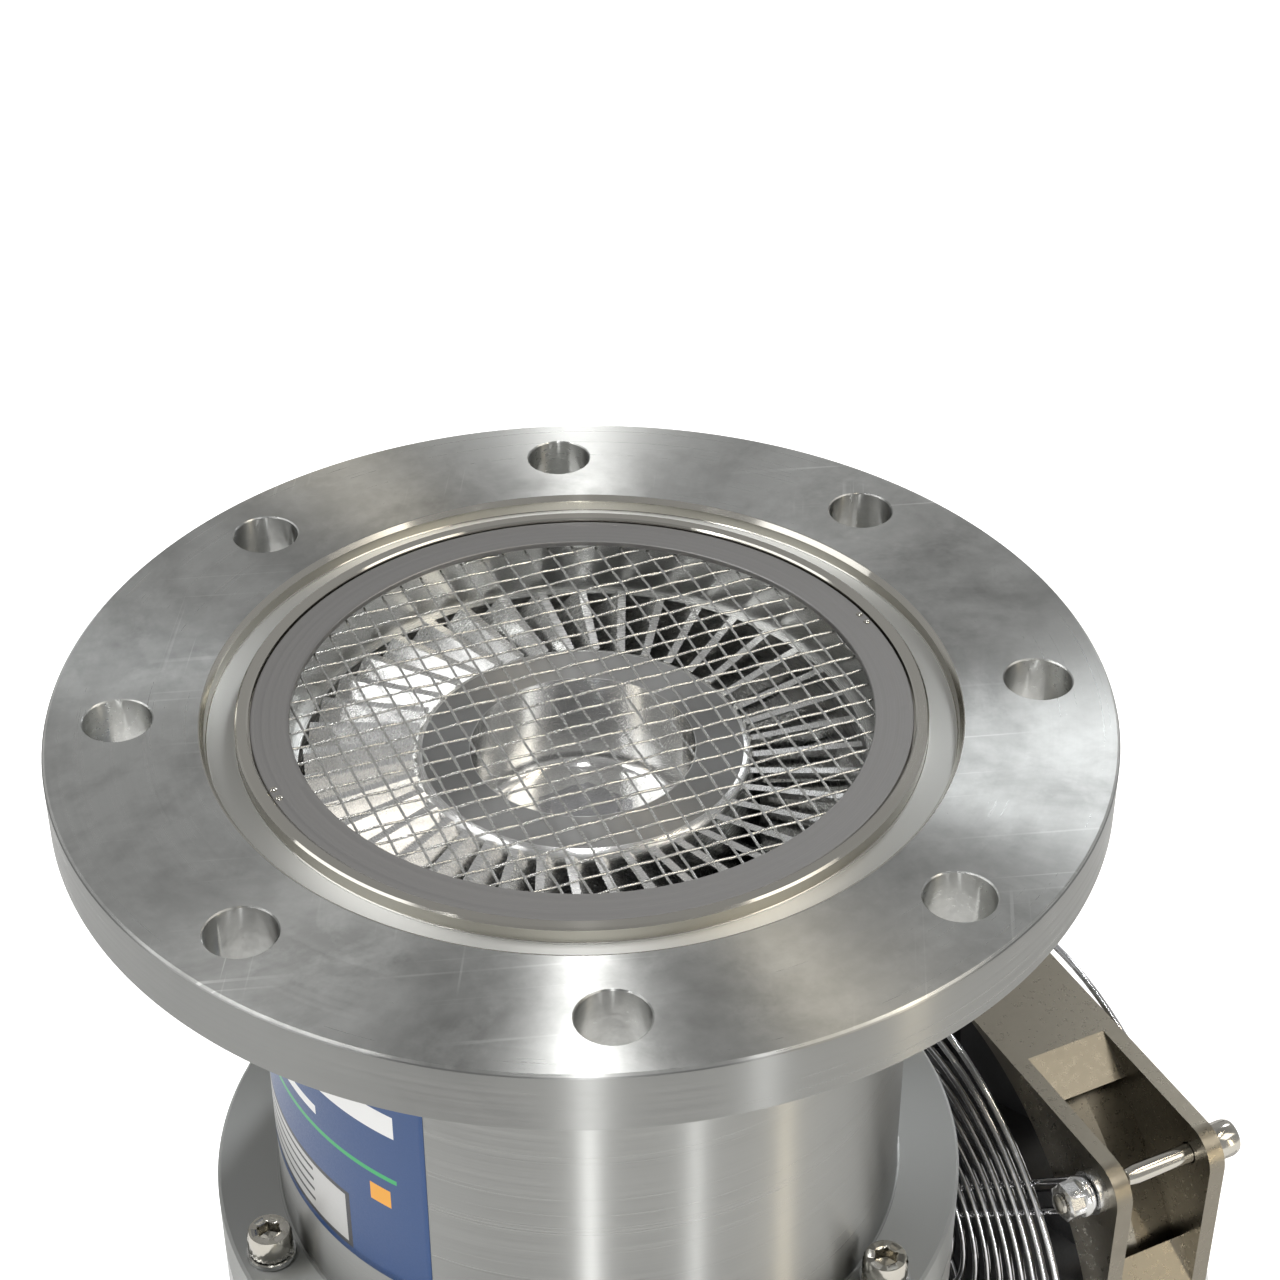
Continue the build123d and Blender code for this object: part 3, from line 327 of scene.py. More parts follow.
def join(graph, shader, colour, rough, normal=None):
    """Feeds the shader's colour, roughness and normal."""
    graph.tree.links.new(colour, shader.inputs["Base Color"])
    graph.tree.links.new(rough, shader.inputs["Roughness"])
    if normal:
        graph.tree.links.new(normal, shader.inputs["Normal"])


def radial_band(graph, place, inner, outer):
    return graph.group("RadialBand", {"Vector": place, "Inner": inner, "Outer": outer})["Mask"]


def metal(name, colour, rough, density, marks, cover, stain, scale, scratch,
          anisotropy=0.0, skin=0.0, satin_painted_pale=0.0):
    """Bare metal with turning marks or a skin, stains and scratches, dull beyond a satin radius and there
    painted paler as painted light.
    """
    made, graph, shader, place = start_material(name)
    shader.inputs["Metallic"].default_value = 1.0
    shader.inputs["Anisotropic"].default_value = anisotropy
    shader.inputs["Anisotropic Rotation"].default_value = 0.25
    clouds = graph.group("Stains", {"Vector": place, "Scale": scale, "Cover": cover})["Mask"]
    lines = graph.group("Scratches", {"Vector": place, "Turn": 0.5, "Cover": scratch})["Mask"]
    if skin:
        surface = graph.group("Skin", {"Vector": place, "Strength": skin, "Scale": density})
    else:
        surface = graph.group("TurningMarks", {"Vector": place, "Density": density, "Strength": marks})
    tint = graph.mix(clouds, rgba(colour), rgba(colour, stain))
    tint = graph.mix(graph.math("MULTIPLY", surface["Mask"], 0.14), tint, rgba(colour, 0.6))
    tint = graph.mix(graph.math("MULTIPLY", lines, 0.6), tint, rgba(colour, 1.35))
    sheen = graph.math("ADD", graph.ramp(surface["Mask"], 0.3, 0.7, rough * 0.8, rough * 1.2),
                       graph.math("MULTIPLY", clouds, 0.10))
    # Beyond the satin radius the higher roughness is a real satin finish; the paler colour is painted light,
    # a lit copy of the same metal.
    if satin_painted_pale:
        satin_lit_region = radial_band(graph, place, satin_painted_pale, 1.0)
        tint = graph.mix(satin_lit_region, tint, rgba(colour, 1.7))
        sheen = graph.blend(satin_lit_region, sheen, 0.62)
    join(graph, shader, tint, sheen, surface["Normal"])
    return made


def plastic(name, colour, rough):
    """Moulded plastic with a fine skin and some dust."""
    made, graph, shader, place = start_material(name)
    skin = graph.group("Skin", {"Vector": place, "Scale": 1400.0, "Strength": 0.25})
    dust = graph.group("Stains", {"Vector": place, "Scale": 45.0, "Cover": 0.42})["Mask"]
    tint = graph.mix(graph.math("MULTIPLY", dust, 0.35), rgba(colour), (0.18, 0.175, 0.17, 1.0))
    sheen = graph.ramp(skin["Mask"], 0.3, 0.7, rough * 0.85, min(1.0, rough * 1.2))
    join(graph, shader, tint, sheen, skin["Normal"])
    return made


def flange_material(name, colours):
    """Turned steel: mottled face; painted light: a pale groove floor and a bright bore; polished groove walls
    with painted shade and a rim painted dark as shade.
    """
    made, graph, shader, place = start_material(name)
    shader.inputs["Metallic"].default_value = 1.0
    shader.inputs["Anisotropic"].default_value = 1.0
    shader.inputs["Anisotropic Rotation"].default_value = 0.25
    marks = graph.group("TurningMarks", {"Vector": place, "Density": 1500.0, "Strength": 0.16})
    clouds = graph.group("Stains", {"Vector": place, "Scale": 24.0, "Cover": 0.52})["Mask"]
    spots = graph.group("Stains", {"Vector": place, "Scale": 75.0, "Cover": 0.44})["Mask"]
    hair = graph.group("Scratches", {"Vector": place, "Turn": 0.35, "Cover": 0.48})["Mask"]
    cross = graph.group("Scratches", {"Vector": place, "Turn": 2.1, "Scale": 1.4, "Cover": 0.42})["Mask"]
    groove = radial_band(graph, place, GROOVE_IN_R - 0.3 * MM, GROOVE_OUT_R - 0.1 * MM)
    inner_wall = radial_band(graph, place, SEAT_R - 0.7 * MM, GROOVE_IN_R + 0.15 * MM)
    outer_wall = radial_band(graph, place, GROOVE_OUT_R - 0.4 * MM, GROOVE_OUT_R + 0.9 * MM)
    walls_polish_and_shade = graph.math("ADD", inner_wall, outer_wall, True)
    bore_painted_bright = radial_band(graph, place, -1.0, INLET_BORE_R + 0.25 * MM)
    rim_painted_shade = radial_band(graph, place, FLANGE_R - 0.25 * MM, 1.0)
    steel, stain = tuple(colours.steel), tuple(colours.stain)
    tint = graph.mix(graph.math("MULTIPLY", clouds, 0.85), rgba(steel, 1.08), rgba(stain, 0.95))
    tint = graph.mix(graph.math("MULTIPLY", spots, 0.5), tint, rgba(steel, 1.35))
    tint = graph.mix(graph.math("MULTIPLY", marks["Mask"], 0.2), tint, rgba(steel, 0.7))
    scratched = graph.math("ADD", hair, cross, True)
    tint = graph.mix(graph.math("MULTIPLY", scratched, 0.7), tint, rgba(steel, 1.6))
    # Painted light: the groove floor is painted pale, a lit copy of the steel; its higher roughness below is
    # real.
    tint = graph.mix(groove, tint, (0.80, 0.80, 0.77, 1.0))
    # Painted shade: the groove walls get a darker, warmer copy of the steel for the shade and dark
    # reflections in the groove; their low roughness below is real polish.
    tint = graph.mix(walls_polish_and_shade, tint, (0.50, 0.485, 0.44, 1.0))
    # Painted shade: the outer rim is painted as a darker copy of the steel.
    tint = graph.mix(rim_painted_shade, tint, rgba(steel, 0.52))
    # Painted light: the bore wall is painted as a brighter copy of the steel.
    tint = graph.mix(bore_painted_bright, tint, rgba(steel, 1.3))
    rough = graph.ramp(marks["Mask"], 0.3, 0.7, 0.25, 0.34)
    rough = graph.math("ADD", rough, graph.math("MULTIPLY", clouds, 0.05))
    rough = graph.blend(groove, rough, 0.62)
    rough = graph.blend(walls_polish_and_shade, rough, 0.10)
    rough = graph.blend(bore_painted_bright, rough, 0.22)
    join(graph, shader, tint, rough, marks["Normal"])
    return made


def rotor_material(name, colours):
    """Milled aluminium: bright blades, a dull upper land and a polished recess."""
    made, graph, shader, place = start_material(name)
    shader.inputs["Metallic"].default_value = 1.0
    shader.inputs["Anisotropic"].default_value = 0.85
    shader.inputs["Anisotropic Rotation"].default_value = 0.25
    marks = graph.group("TurningMarks", {"Vector": place, "Density": 1900.0, "Strength": 0.012})
    clouds = graph.group("Stains", {"Vector": place, "Scale": 26.0, "Cover": 0.42})["Mask"]
    land = radial_band(graph, place, RECESS_R - 0.05 * MM, LAND_R)
    recess = radial_band(graph, place, -1.0, RECESS_R)
    base = tuple(colours.rotor)
    tint = graph.mix(graph.math("MULTIPLY", clouds, 0.35), rgba(base, 1.12), rgba(base, 0.8))
    tint = graph.mix(land, tint, rgba(base, 0.46))
    tint = graph.mix(recess, tint, rgba(base, 1.12))
    rough = graph.ramp(marks["Mask"], 0.3, 0.7, 0.25, 0.29)
    rough = graph.blend(land, rough, 0.60)
    rough = graph.blend(recess, rough, graph.ramp(marks["Mask"], 0.3, 0.7, 0.16, 0.20))
    join(graph, shader, tint, rough, marks["Normal"])
    return made


def label_material(name, colours):
    """Printed film: a blue ground, pale bars, a thin green rule, a small orange mark and a silver plate."""
    made, graph, shader, _ = start_material(name)
    place = graph.add("ShaderNodeTexCoord").outputs["UV"]
    skin = graph.group("Skin", {"Vector": graph.add("ShaderNodeTexCoord").outputs["Object"], "Scale": 2500.0,
                                "Strength": 0.12})

    def panel(left, right, low, high):
        edges = {"Vector": place, "Left": left, "Right": right, "Low": low, "High": high}
        return graph.group("Panel", edges)["Mask"]

    tint = graph.mix(graph.math("MULTIPLY", skin["Mask"], 0.2), rgba(tuple(colours.label)),
                     rgba(tuple(colours.label), 0.7))
    white, dark = (0.78, 0.78, 0.77, 1.0), (0.03, 0.03, 0.035, 1.0)
    for area in ((0.08, 0.92, 0.86, 0.90), (0.08, 0.46, 0.70, 0.80), (0.54, 0.92, 0.70, 0.80),
                 (0.08, 0.66, 0.56, 0.60)):
        tint = graph.mix(panel(*area), tint, white)
    tint = graph.mix(panel(0.08, 0.92, 0.485, 0.505), tint, (0.03, 0.38, 0.12, 1.0))
    tint = graph.mix(panel(0.84, 0.90, 0.36, 0.44), tint, (0.80, 0.36, 0.03, 1.0))
    tint = graph.mix(panel(0.235, 0.765, 0.03, 0.30), tint, dark)
    plate = panel(0.25, 0.75, 0.05, 0.28)
    tint = graph.mix(plate, tint, (0.55, 0.55, 0.54, 1.0))
    for low in (0.09, 0.14, 0.19, 0.24):
        tint = graph.mix(panel(0.29, 0.62, low, low + 0.014), tint, dark)
    join(graph, shader, tint, graph.ramp(skin["Mask"], 0.3, 0.7, 0.30, 0.42), skin["Normal"])
    graph.tree.links.new(graph.math("MULTIPLY", plate, 0.7), shader.inputs["Metallic"])
    return made


def floor_material(name, colour):
    """Pale floor, lifted to white for camera, glossy and transmission rays, that keeps the shadow."""
    made, graph, shader, place = start_material(name)
    grain = graph.noise(place, 60.0, 3.0)
    tint = graph.mix(graph.math("MULTIPLY", grain, 0.04), rgba(colour), rgba(colour, 0.9))
    join(graph, shader, tint, graph.ramp(grain, 0.3, 0.7, 0.85, 0.95))
    path = graph.add("ShaderNodeLightPath").outputs
    clear = graph.math("ADD", path["Is Camera Ray"], path["Is Transmission Ray"], True)
    lift = graph.math("ADD", graph.math("MULTIPLY", clear, 0.60),
                      graph.math("MULTIPLY", path["Is Glossy Ray"], 0.18))
    graph.tree.links.new(tint, shader.inputs["Emission Color"])
    graph.tree.links.new(lift, shader.inputs["Emission Strength"])
    return made


MATERIALS = {}


def build_materials(colours):
    """One material for each slot of the frame."""
    steel, rotor = tuple(colours.steel), tuple(colours.rotor)
    casing = tuple(0.66 * channel for channel in steel)
    # Colour, roughness, marks per metre, height of the marks, stained share, tone of the stains, stains per
    # metre and scratched share.
    metals = {
        "casing_stainless": (casing, 0.32, 2600.0, 0.08, 0.36, 0.90, 14.0, 0.30),
        "screw_steel": ((0.52, 0.50, 0.45), 0.14, 2500.0, 0.05, 0.42, 0.7, 160.0, 0.3),
        "washer_steel": ((0.56, 0.56, 0.55), 0.24, 2500.0, 0.12, 0.4, 0.7, 160.0, 0.3),
        "screen_ring_steel": (tuple(colours.screen), 0.5, 2600.0, 0.10, 0.34, 0.88, 40.0, 0.3),
        "screen_mesh_steel": ((0.52, 0.52, 0.50), 0.26, 3000.0, 0.03, 0.4, 0.8, 220.0, 0.2),
        "stator_aluminium": (rotor, 0.26, 1200.0, 0.10, 0.4, 0.8, 40.0, 0.3),
        "spacer_aluminium": (rotor, 0.28, 1600.0, 0.14, 0.4, 0.8, 40.0, 0.3),
        "shaft_steel": ((0.56, 0.56, 0.57), 0.2, 2000.0, 0.10, 0.35, 0.8, 60.0, 0.3),
        "magnet_steel": ((0.30, 0.30, 0.31), 0.35, 1200.0, 0.10, 0.35, 0.8, 60.0, 0.3),
        "housing_aluminium": (rotor, 0.34, 1500.0, 0.14, 0.4, 0.8, 30.0, 0.3),
        "motor_lamination": ((0.24, 0.24, 0.25), 0.45, 6000.0, 0.4, 0.4, 0.7, 60.0, 0.2),
        "winding_copper": ((0.62, 0.28, 0.12), 0.35, 4000.0, 0.5, 0.4, 0.7, 80.0, 0.1),
        "bearing_steel": ((0.66, 0.66, 0.68), 0.12, 2000.0, 0.06, 0.3, 0.85, 60.0, 0.2),
        "ball_steel": ((0.68, 0.68, 0.70), 0.08, 2000.0, 0.04, 0.3, 0.9, 60.0, 0.1),
        "base_aluminium": ((0.50, 0.50, 0.49), 0.42, 700.0, 0.2, 0.46, 0.8, 24.0, 0.3),
        "port_stainless": (steel, 0.24, 1500.0, 0.12, 0.4, 0.8, 40.0, 0.3),
        "connector_metal": ((0.44, 0.44, 0.44), 0.3, 1500.0, 0.12, 0.4, 0.75, 60.0, 0.3),
        "plug_brass": ((0.60, 0.44, 0.20), 0.28, 1500.0, 0.12, 0.42, 0.7, 90.0, 0.3),
        "fan_cast_aluminium": (tuple(colours.casting), 0.30, 700.0, 0.2, 0.44, 0.82, 24.0, 0.24),
        "fan_motor_steel": ((0.26, 0.26, 0.26), 0.4, 1500.0, 0.12, 0.4, 0.7, 60.0, 0.2),
        "guard_chrome": ((0.62, 0.62, 0.63), 0.12, 1500.0, 0.05, 0.4, 0.75, 130.0, 0.2),
        "bracket_steel": ((0.52, 0.52, 0.52), 0.34, 600.0, 0.15, 0.42, 0.8, 40.0, 0.3),
    }
    # Turned pieces reflect in streaks across their marks, and cast ones have a skin instead of marks.
    special = {
        # The casing's foot and neck, beyond its radius, are satin and painted paler as painted light.
        "casing_stainless": {"anisotropy": 1.0, "satin_painted_pale": CASING_R + 0.6 * MM},
        "spacer_aluminium": {"anisotropy": 0.4},
        "shaft_steel": {"anisotropy": 0.4},
        "housing_aluminium": {"anisotropy": 0.3},
        "base_aluminium": {"skin": 0.35},
        "fan_cast_aluminium": {"skin": 0.03},
        "bracket_steel": {"skin": 0.15},
    }
    for slot, finish in metals.items():
        MATERIALS[slot] = metal(slot, *finish, **special.get(slot, {}))
    MATERIALS["inlet_stainless"] = flange_material("inlet_stainless", colours)
    MATERIALS["rotor_aluminium"] = rotor_material("rotor_aluminium", colours)
    MATERIALS["connector_insulator"] = plastic("connector_insulator", (0.03, 0.03, 0.03), 0.5)
    MATERIALS["fan_black"] = plastic("fan_black", (0.018, 0.018, 0.019), 0.42)


# ---------------------------------------------------------------- mesh helpers
def add_object(name, bm, slot, body, nodes=(), smooth=35.0, bevel=0.0):
    """Turns a bmesh into a piece that rides on a body and stands for CAD nodes."""
    bmesh.ops.recalc_face_normals(bm, faces=bm.faces)
    mesh = bpy.data.meshes.new(name)
    bm.to_mesh(mesh)
    bm.free()
    piece = bpy.data.objects.new(name, mesh)
    bpy.context.scene.collection.objects.link(piece)
    dress(piece, slot, smooth, bevel)
    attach(piece, body)
    if nodes:
        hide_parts(*nodes)
    return piece


def dress(piece, slot, smooth=35.0, bevel=0.0):
    """Material, softened edges and smooth shading up to an angle."""
    piece.data.materials.clear()
    piece.data.materials.append(MATERIALS[slot])
    for face in piece.data.polygons:
        face.use_smooth = True
    if bevel:
        rounding = piece.modifiers.new("Edges", "BEVEL")
        rounding.width = bevel
        rounding.segments = 2
        rounding.limit_method = "ANGLE"
        rounding.angle_limit = math.radians(smooth)
        rounding.harden_normals = False
    split = piece.modifiers.new("Sharp", "EDGE_SPLIT")
    split.split_angle = math.radians(smooth)


def ring_stack(bm, rings, segments=64, place=None):
    """Skins a list of (radius, height, shape) rings; a zero radius closes the end with a point."""
    loops = []
    for radius, height, shape in rings:
        if radius == 0.0:
            loops.append([bm.verts.new((0.0, 0.0, height))])
            continue
        loop = []
        for index in range(segments):
            angle = 2 * math.pi * index / segments
            reach = radius
            if shape == "hex":
                reach = radius / math.cos((angle + math.pi / 6) % (math.pi / 3) - math.pi / 6)
            elif shape == "knurl":
                reach = radius - (0.22 * MM if index % 2 else 0.0)
            loop.append(bm.verts.new((reach * math.cos(angle), reach * math.sin(angle), height)))
        loops.append(loop)
    made = [vert for loop in loops for vert in loop]
    for lower, upper in zip(loops, loops[1:]):
        for index in range(segments):
            after = (index + 1) % segments
            if len(lower) == 1:
                bm.faces.new((lower[0], upper[index], upper[after]))
            elif len(upper) == 1:
                bm.faces.new((lower[index], lower[after], upper[0]))
            else:
                bm.faces.new((lower[index], lower[after], upper[after], upper[index]))
    if place is not None:
        bmesh.ops.transform(bm, matrix=place, verts=made)
    return made


def lathe(bm, profile, segments):
    """Closed solid of revolution from (radius, height) points in metres."""
    rings = [(radius, height, None) for radius, height in profile]
    ring_stack(bm, rings + rings[:1], segments)
    bmesh.ops.remove_doubles(bm, verts=bm.verts, dist=1e-7)


def sweep(bm, points, radius, sides, closed=False, across=None):
    """Round wire along a list of points; across is the direction square to a wire that lies in one plane."""
    count = len(points)
    loops = []
    for index, point in enumerate(points):
        before = points[index - 1] if (closed or index > 0) else points[index]
        after = points[(index + 1) % count] if (closed or index < count - 1) else points[index]
        along = (after - before).normalized()
        side = across or along.cross(Vector((0, 0, 1))).normalized()
        up = along.cross(side).normalized() if across else side.cross(along)
        loops.append([bm.verts.new(point + radius * (math.cos(a) * side + math.sin(a) * up))
                      for a in (2 * math.pi * k / sides for k in range(sides))])
    pairs = list(zip(loops, loops[1:])) + ([(loops[-1], loops[0])] if closed else [])
    for lower, upper in pairs:
        for index in range(sides):
            after = (index + 1) % sides
            bm.faces.new((lower[index], lower[after], upper[after], upper[index]))
    if not closed:
        bm.faces.new(loops[0])
        bm.faces.new(loops[-1])


def cap_screw(bm, place, shank, head, height, hexagon, length, thread=0.0):
    """Socket-head screw, head underside at level 0; thread is the pitch of a threaded end."""
    rings = [(0.0, -length, None), (0.85 * shank / 2, -length, None)]
    if thread:
        turns = int(0.45 * length / thread)
        for index in range(turns):
            level = -length + (index + 0.3) * thread
            rings += [(shank / 2, level, None), (0.84 * shank / 2, level + 0.5 * thread, None)]
    rings += [(shank / 2, -0.5 * length, None), (shank / 2, 0.0, None), (0.94 * head / 2, 0.0, None),
              (head / 2, 0.06 * height, "knurl"), (head / 2, 0.80 * height, "knurl"),
              (0.90 * head / 2, height, None), (0.5 * hexagon * 1.22, height, None),
              (0.5 * hexagon, 0.94 * height, "hex"), (0.5 * hexagon, 0.45 * height, "hex"),
              (0.2 * hexagon, 0.36 * height, None), (0.0, 0.34 * height, None)]
    ring_stack(bm, rings, 48, place)


def turn_z(degrees):
    """A turn about the vertical axis."""
    return Matrix.Rotation(math.radians(degrees), 4, "Z")


# ---------------------------------------------------------------- operators
class PUMP_OT_materials(bpy.types.Operator):
    """Build the shared effects and the materials."""
    bl_idname = "pump.materials"
    bl_label = "Materials"
    bl_options = {"REGISTER", "UNDO"}

    def execute(self, context):
        colours = context.scene.pump_colours
        build_groups()
        build_materials(colours)
        return {"FINISHED"}


class PUMP_OT_nodes(bpy.types.Operator):
    """Give every CAD node the material of its slot."""
    bl_idname = "pump.nodes"
    bl_label = "CAD nodes"
    bl_options = {"REGISTER", "UNDO"}

    def execute(self, context):
        for part in frame["record"]["subparts"]:
            dress(frame["nodes"][part["node"]], part["material_slot"], 32.0)
        return {"FINISHED"}


class PUMP_OT_inlet_flange(bpy.types.Operator):
    """Build the inlet flange with its seal groove, screen seat and bolt holes."""
    bl_idname = "pump.inlet_flange"
    bl_label = "Inlet flange"
    bl_options = {"REGISTER", "UNDO"}

    def execute(self, context):
        top, low = INLET_Z, FLANGE_LOW
        groove = top - GROOVE_DEPTH
        profile = [(INLET_BORE_R, low), (FLANGE_R - 1.0 * MM, low), (FLANGE_R, low + 1.0 * MM),
                   (FLANGE_R, top - 0.55 * MM), (FLANGE_R - 0.55 * MM, top),
                   (GROOVE_OUT_R + 0.65 * MM, top), (GROOVE_OUT_R, top - 0.9 * MM),
                   (GROOVE_OUT_R - 0.2 * MM, groove + 0.3 * MM), (GROOVE_OUT_R - 0.5 * MM, groove),
                   (GROOVE_IN_R + 0.3 * MM, groove), (GROOVE_IN_R, groove + 0.3 * MM),
                   (GROOVE_IN_R, top - 0.35 * MM), (GROOVE_IN_R - 0.35 * MM, top),
                   (SEAT_R + 0.3 * MM, top), (SEAT_R, top - 0.3 * MM), (SEAT_R, SCREEN_LOW),
                   (INLET_BORE_R + 0.3 * MM, SCREEN_LOW), (INLET_BORE_R, SCREEN_LOW - 0.3 * MM)]
        bm = bmesh.new()
        lathe(bm, profile, 288)
        piece = add_object("flange_inlet", bm, "inlet_stainless", "housing", ("inlet_flange",), 28.0)
        cutter = bmesh.new()
        thick = top - low
        for index in range(BOLT_HOLES):
            hole = turn_z((index + 0.5) * 360 / BOLT_HOLES) @ Matrix.Translation((BOLT_CIRCLE_R, 0, low))
            ring_stack(cutter, [(0.0, -1 * MM, None), (BOLT_HOLE_R + 0.4 * MM, -1 * MM, None),
                                (BOLT_HOLE_R, 0.3 * MM, None), (BOLT_HOLE_R, thick - 0.22 * MM, None),
                                (BOLT_HOLE_R + 0.5 * MM, thick + 0.28 * MM, None),
                                (0.0, thick + 0.28 * MM, None)], 96, hole)
        bmesh.ops.recalc_face_normals(cutter, faces=cutter.faces)
        mesh = bpy.data.meshes.new("hole_tool")
        cutter.to_mesh(mesh)
        cutter.free()
        tool = bpy.data.objects.new("hole_tool", mesh)
        bpy.context.scene.collection.objects.link(tool)
        carve = piece.modifiers.new("Holes", "BOOLEAN")
        carve.object = tool
        carve.solver = "EXACT"
        bpy.context.view_layer.update()
        shaped = bpy.data.meshes.new_from_object(piece.evaluated_get(bpy.context.evaluated_depsgraph_get()))
        piece.modifiers.clear()
        piece.data = shaped
        bpy.data.objects.remove(tool)
        dress(piece, "inlet_stainless", 28.0)
        return {"FINISHED"}


class PUMP_OT_casing(bpy.types.Operator):
    """Build the casing tube with its weld and foot flange."""
    bl_idname = "pump.casing"
    bl_label = "Casing"
    bl_options = {"REGISTER", "UNDO"}

    def execute(self, context):
        low, top, foot = CASING_LOW, FLANGE_LOW, FOOT_Z
        profile = [(CASING_BORE_R, low), (FOOT_R - 0.6 * MM, low), (FOOT_R, low + 0.6 * MM),
                   (FOOT_R, foot - 0.6 * MM), (FOOT_R - 0.6 * MM, foot), (CASING_R + 0.8 * MM, foot),
                   (CASING_R + 0.2 * MM, foot + 0.25 * MM), (CASING_R, foot + 0.9 * MM),
                   (CASING_R, top - 5.4 * MM), (CASING_R + 0.3 * MM, top - 5.1 * MM),
                   (NECK_R - 0.3 * MM, top - 4.7 * MM), (NECK_R, top - 4.3 * MM), (NECK_R, top),
                   (CASING_BORE_R, top)]
        bm = bmesh.new()
        lathe(bm, profile, 256)
        add_object("casing_tube", bm, "casing_stainless", "housing", ("pump_casing",), 28.0)
        return {"FINISHED"}


class PUMP_OT_screen(bpy.types.Operator):
    """Build the inlet screen: its ring with staked edge and the woven wires."""
    bl_idname = "pump.screen"
    bl_label = "Inlet screen"
    bl_options = {"REGISTER", "UNDO"}

    def execute(self, context):
        sizes = context.scene.pump_sizes
        low = SCREEN_LOW
        high = low + SCREEN_THICK
        bm = bmesh.new()
        profile = [(SCREEN_BORE_R, low), (SCREEN_RIM_R - 0.15 * MM, low), (SCREEN_RIM_R, low + 0.15 * MM),
                   (SCREEN_RIM_R, high - 0.15 * MM), (SCREEN_RIM_R - 0.15 * MM, high),
                   (SCREEN_BORE_R + 0.15 * MM, high), (SCREEN_BORE_R, high - 0.15 * MM)]
        lathe(bm, profile, 256)
        add_object("screen_rim", bm, "screen_ring_steel", "housing", ("screen_ring",), 28.0)
        bm = bmesh.new()
        for side in (0.0, 180.0):
            for spot in (-1.3, 1.3):
                place = turn_z(side + spot) @ Matrix.Translation((STAKE_CIRCLE_R, 0, high - 0.2 * MM))
                ring_stack(bm, [(0.0, 0.0, None), (0.65 * MM, 0.0, None), (0.6 * MM, 0.35 * MM, None),
                                (0.3 * MM, 0.5 * MM, None), (0.0, 0.52 * MM, None)], 16, place)
        add_object("screen_stakes", bm, "screw_steel", "housing", (), 30.0)
        bm = bmesh.new()
        pitch, wire = sizes.mesh_pitch, sizes.mesh_wire
        limit = SCREEN_BORE_R + 0.2 * MM
        steps = int(limit / pitch)
        middle = low - 1.05 * wire
        for family in range(2):
            spin = Matrix.Rotation(math.radians(356 + 90 * family), 3, "Z")
            for step in range(-steps, steps + 1):
                offset = step * pitch
                half = math.sqrt(limit ** 2 - offset ** 2)
                count = max(6, int(2 * half / (pitch / 4)))
                points = []
                for index in range(count + 1):
                    along = -half + 2 * half * index / count
                    phase = math.pi * (along / pitch + step + family)
                    rise = 0.20 * wire * math.cos(phase)
                    points.append(spin @ Vector((along, offset, 0)) + Vector((0, 0, middle + rise)))
                sweep(bm, points, wire / 2, 6)
        add_object("screen_weave", bm, "screen_mesh_steel", "housing", ("screen_mesh",), 60.0)
        return {"FINISHED"}


class PUMP_OT_casing_screws(bpy.types.Operator):
    """Build the casing foot's socket screws and their split spring washers."""
    bl_idname = "pump.casing_screws"
    bl_label = "Casing screws"
    bl_options = {"REGISTER", "UNDO"}

    def execute(self, context):
        bm = bmesh.new()
        for index in range(FOOT_SCREWS):
            place = Matrix.Translation((FOOT_CIRCLE_R, 0, FOOT_Z + WASHER_RISE))
            seat = turn_z(index * 360 / FOOT_SCREWS) @ place @ turn_z(17 * index)
            cap_screw(bm, seat, 5 * MM, 8.5 * MM, 5 * MM, 4 * MM, 20 * MM)
        add_object("foot_screws", bm, "screw_steel", "housing", ("casing_screws",), 40.0)
        bm = bmesh.new()
        for index in range(FOOT_SCREWS):
            place = Matrix.Translation((FOOT_CIRCLE_R, 0, FOOT_Z))
            seat = turn_z(index * 360 / FOOT_SCREWS) @ place @ turn_z(240 + 23 * index)
            loops = []
            for step in range(49):
                angle = math.radians(7 + 346 * step / 48)
                rise = 0.30 * MM * step / 48
                loop = []
                for radius, height in ((2.75, 0.02), (4.6, 0.02), (4.6, 1.08), (2.75, 1.08)):
                    point = Vector((radius * MM * math.cos(angle), radius * MM * math.sin(angle),
                                    height * MM + rise))
                    loop.append(bm.verts.new(seat @ point))
                loops.append(loop)
            for lower, upper in zip(loops, loops[1:]):
                for k in range(4):
                    bm.faces.new((lower[k], lower[(k + 1) % 4], upper[(k + 1) % 4], upper[k]))
            bm.faces.new(loops[0])
            bm.faces.new(loops[-1])
        add_object("foot_washers", bm, "washer_steel", "housing", ("spring_washers",), 35.0)
        return {"FINISHED"}


def guard_wires(bm, sizes, level, flip, outer):
    """One finger guard: rings at a level on +X, arms behind them ending in eyes round the screws."""
    wire, pitch = sizes.guard_wire, sizes.guard_pitch
    eye, half = FAN_HOLE_OFFSET * math.sqrt(2), GUARD_ARM_GAP / 2
    front, behind = flip * wire / 2, -flip * wire / 2
    rings = 1 + int((outer - 1.5 * MM) / pitch)
    wires = []
    for index in range(rings):
        radius = outer - index * pitch
        turns = [2 * math.pi * k / 96 for k in range(96)]
        wires.append(([Vector((radius * math.cos(a), radius * math.sin(a), front)) for a in turns], True))
    inner = outer - (rings - 1) * pitch
    for index in range(4):
        turn = Matrix.Rotation(math.radians(45 + 90 * index), 3, "Z")
        line = [Vector((inner, half, behind)), Vector((eye, half, behind))]
        for step in range(1, 12):
            angle = math.radians(90 - 180 * step / 12)
            line.append(Vector((eye + half * math.cos(angle), half * math.sin(angle), behind)))
        line += [Vector((eye, -half, behind)), Vector((inner, -half, behind))]
        wires.append(([turn @ point for point in line], False))
    for points, closed in wires:
        placed = [Vector((level + p.z, p.x, FAN_CENTRE.z + p.y)) for p in points]
        sweep(bm, placed, wire / 2 * 0.98, 10, closed, Vector((1, 0, 0)))


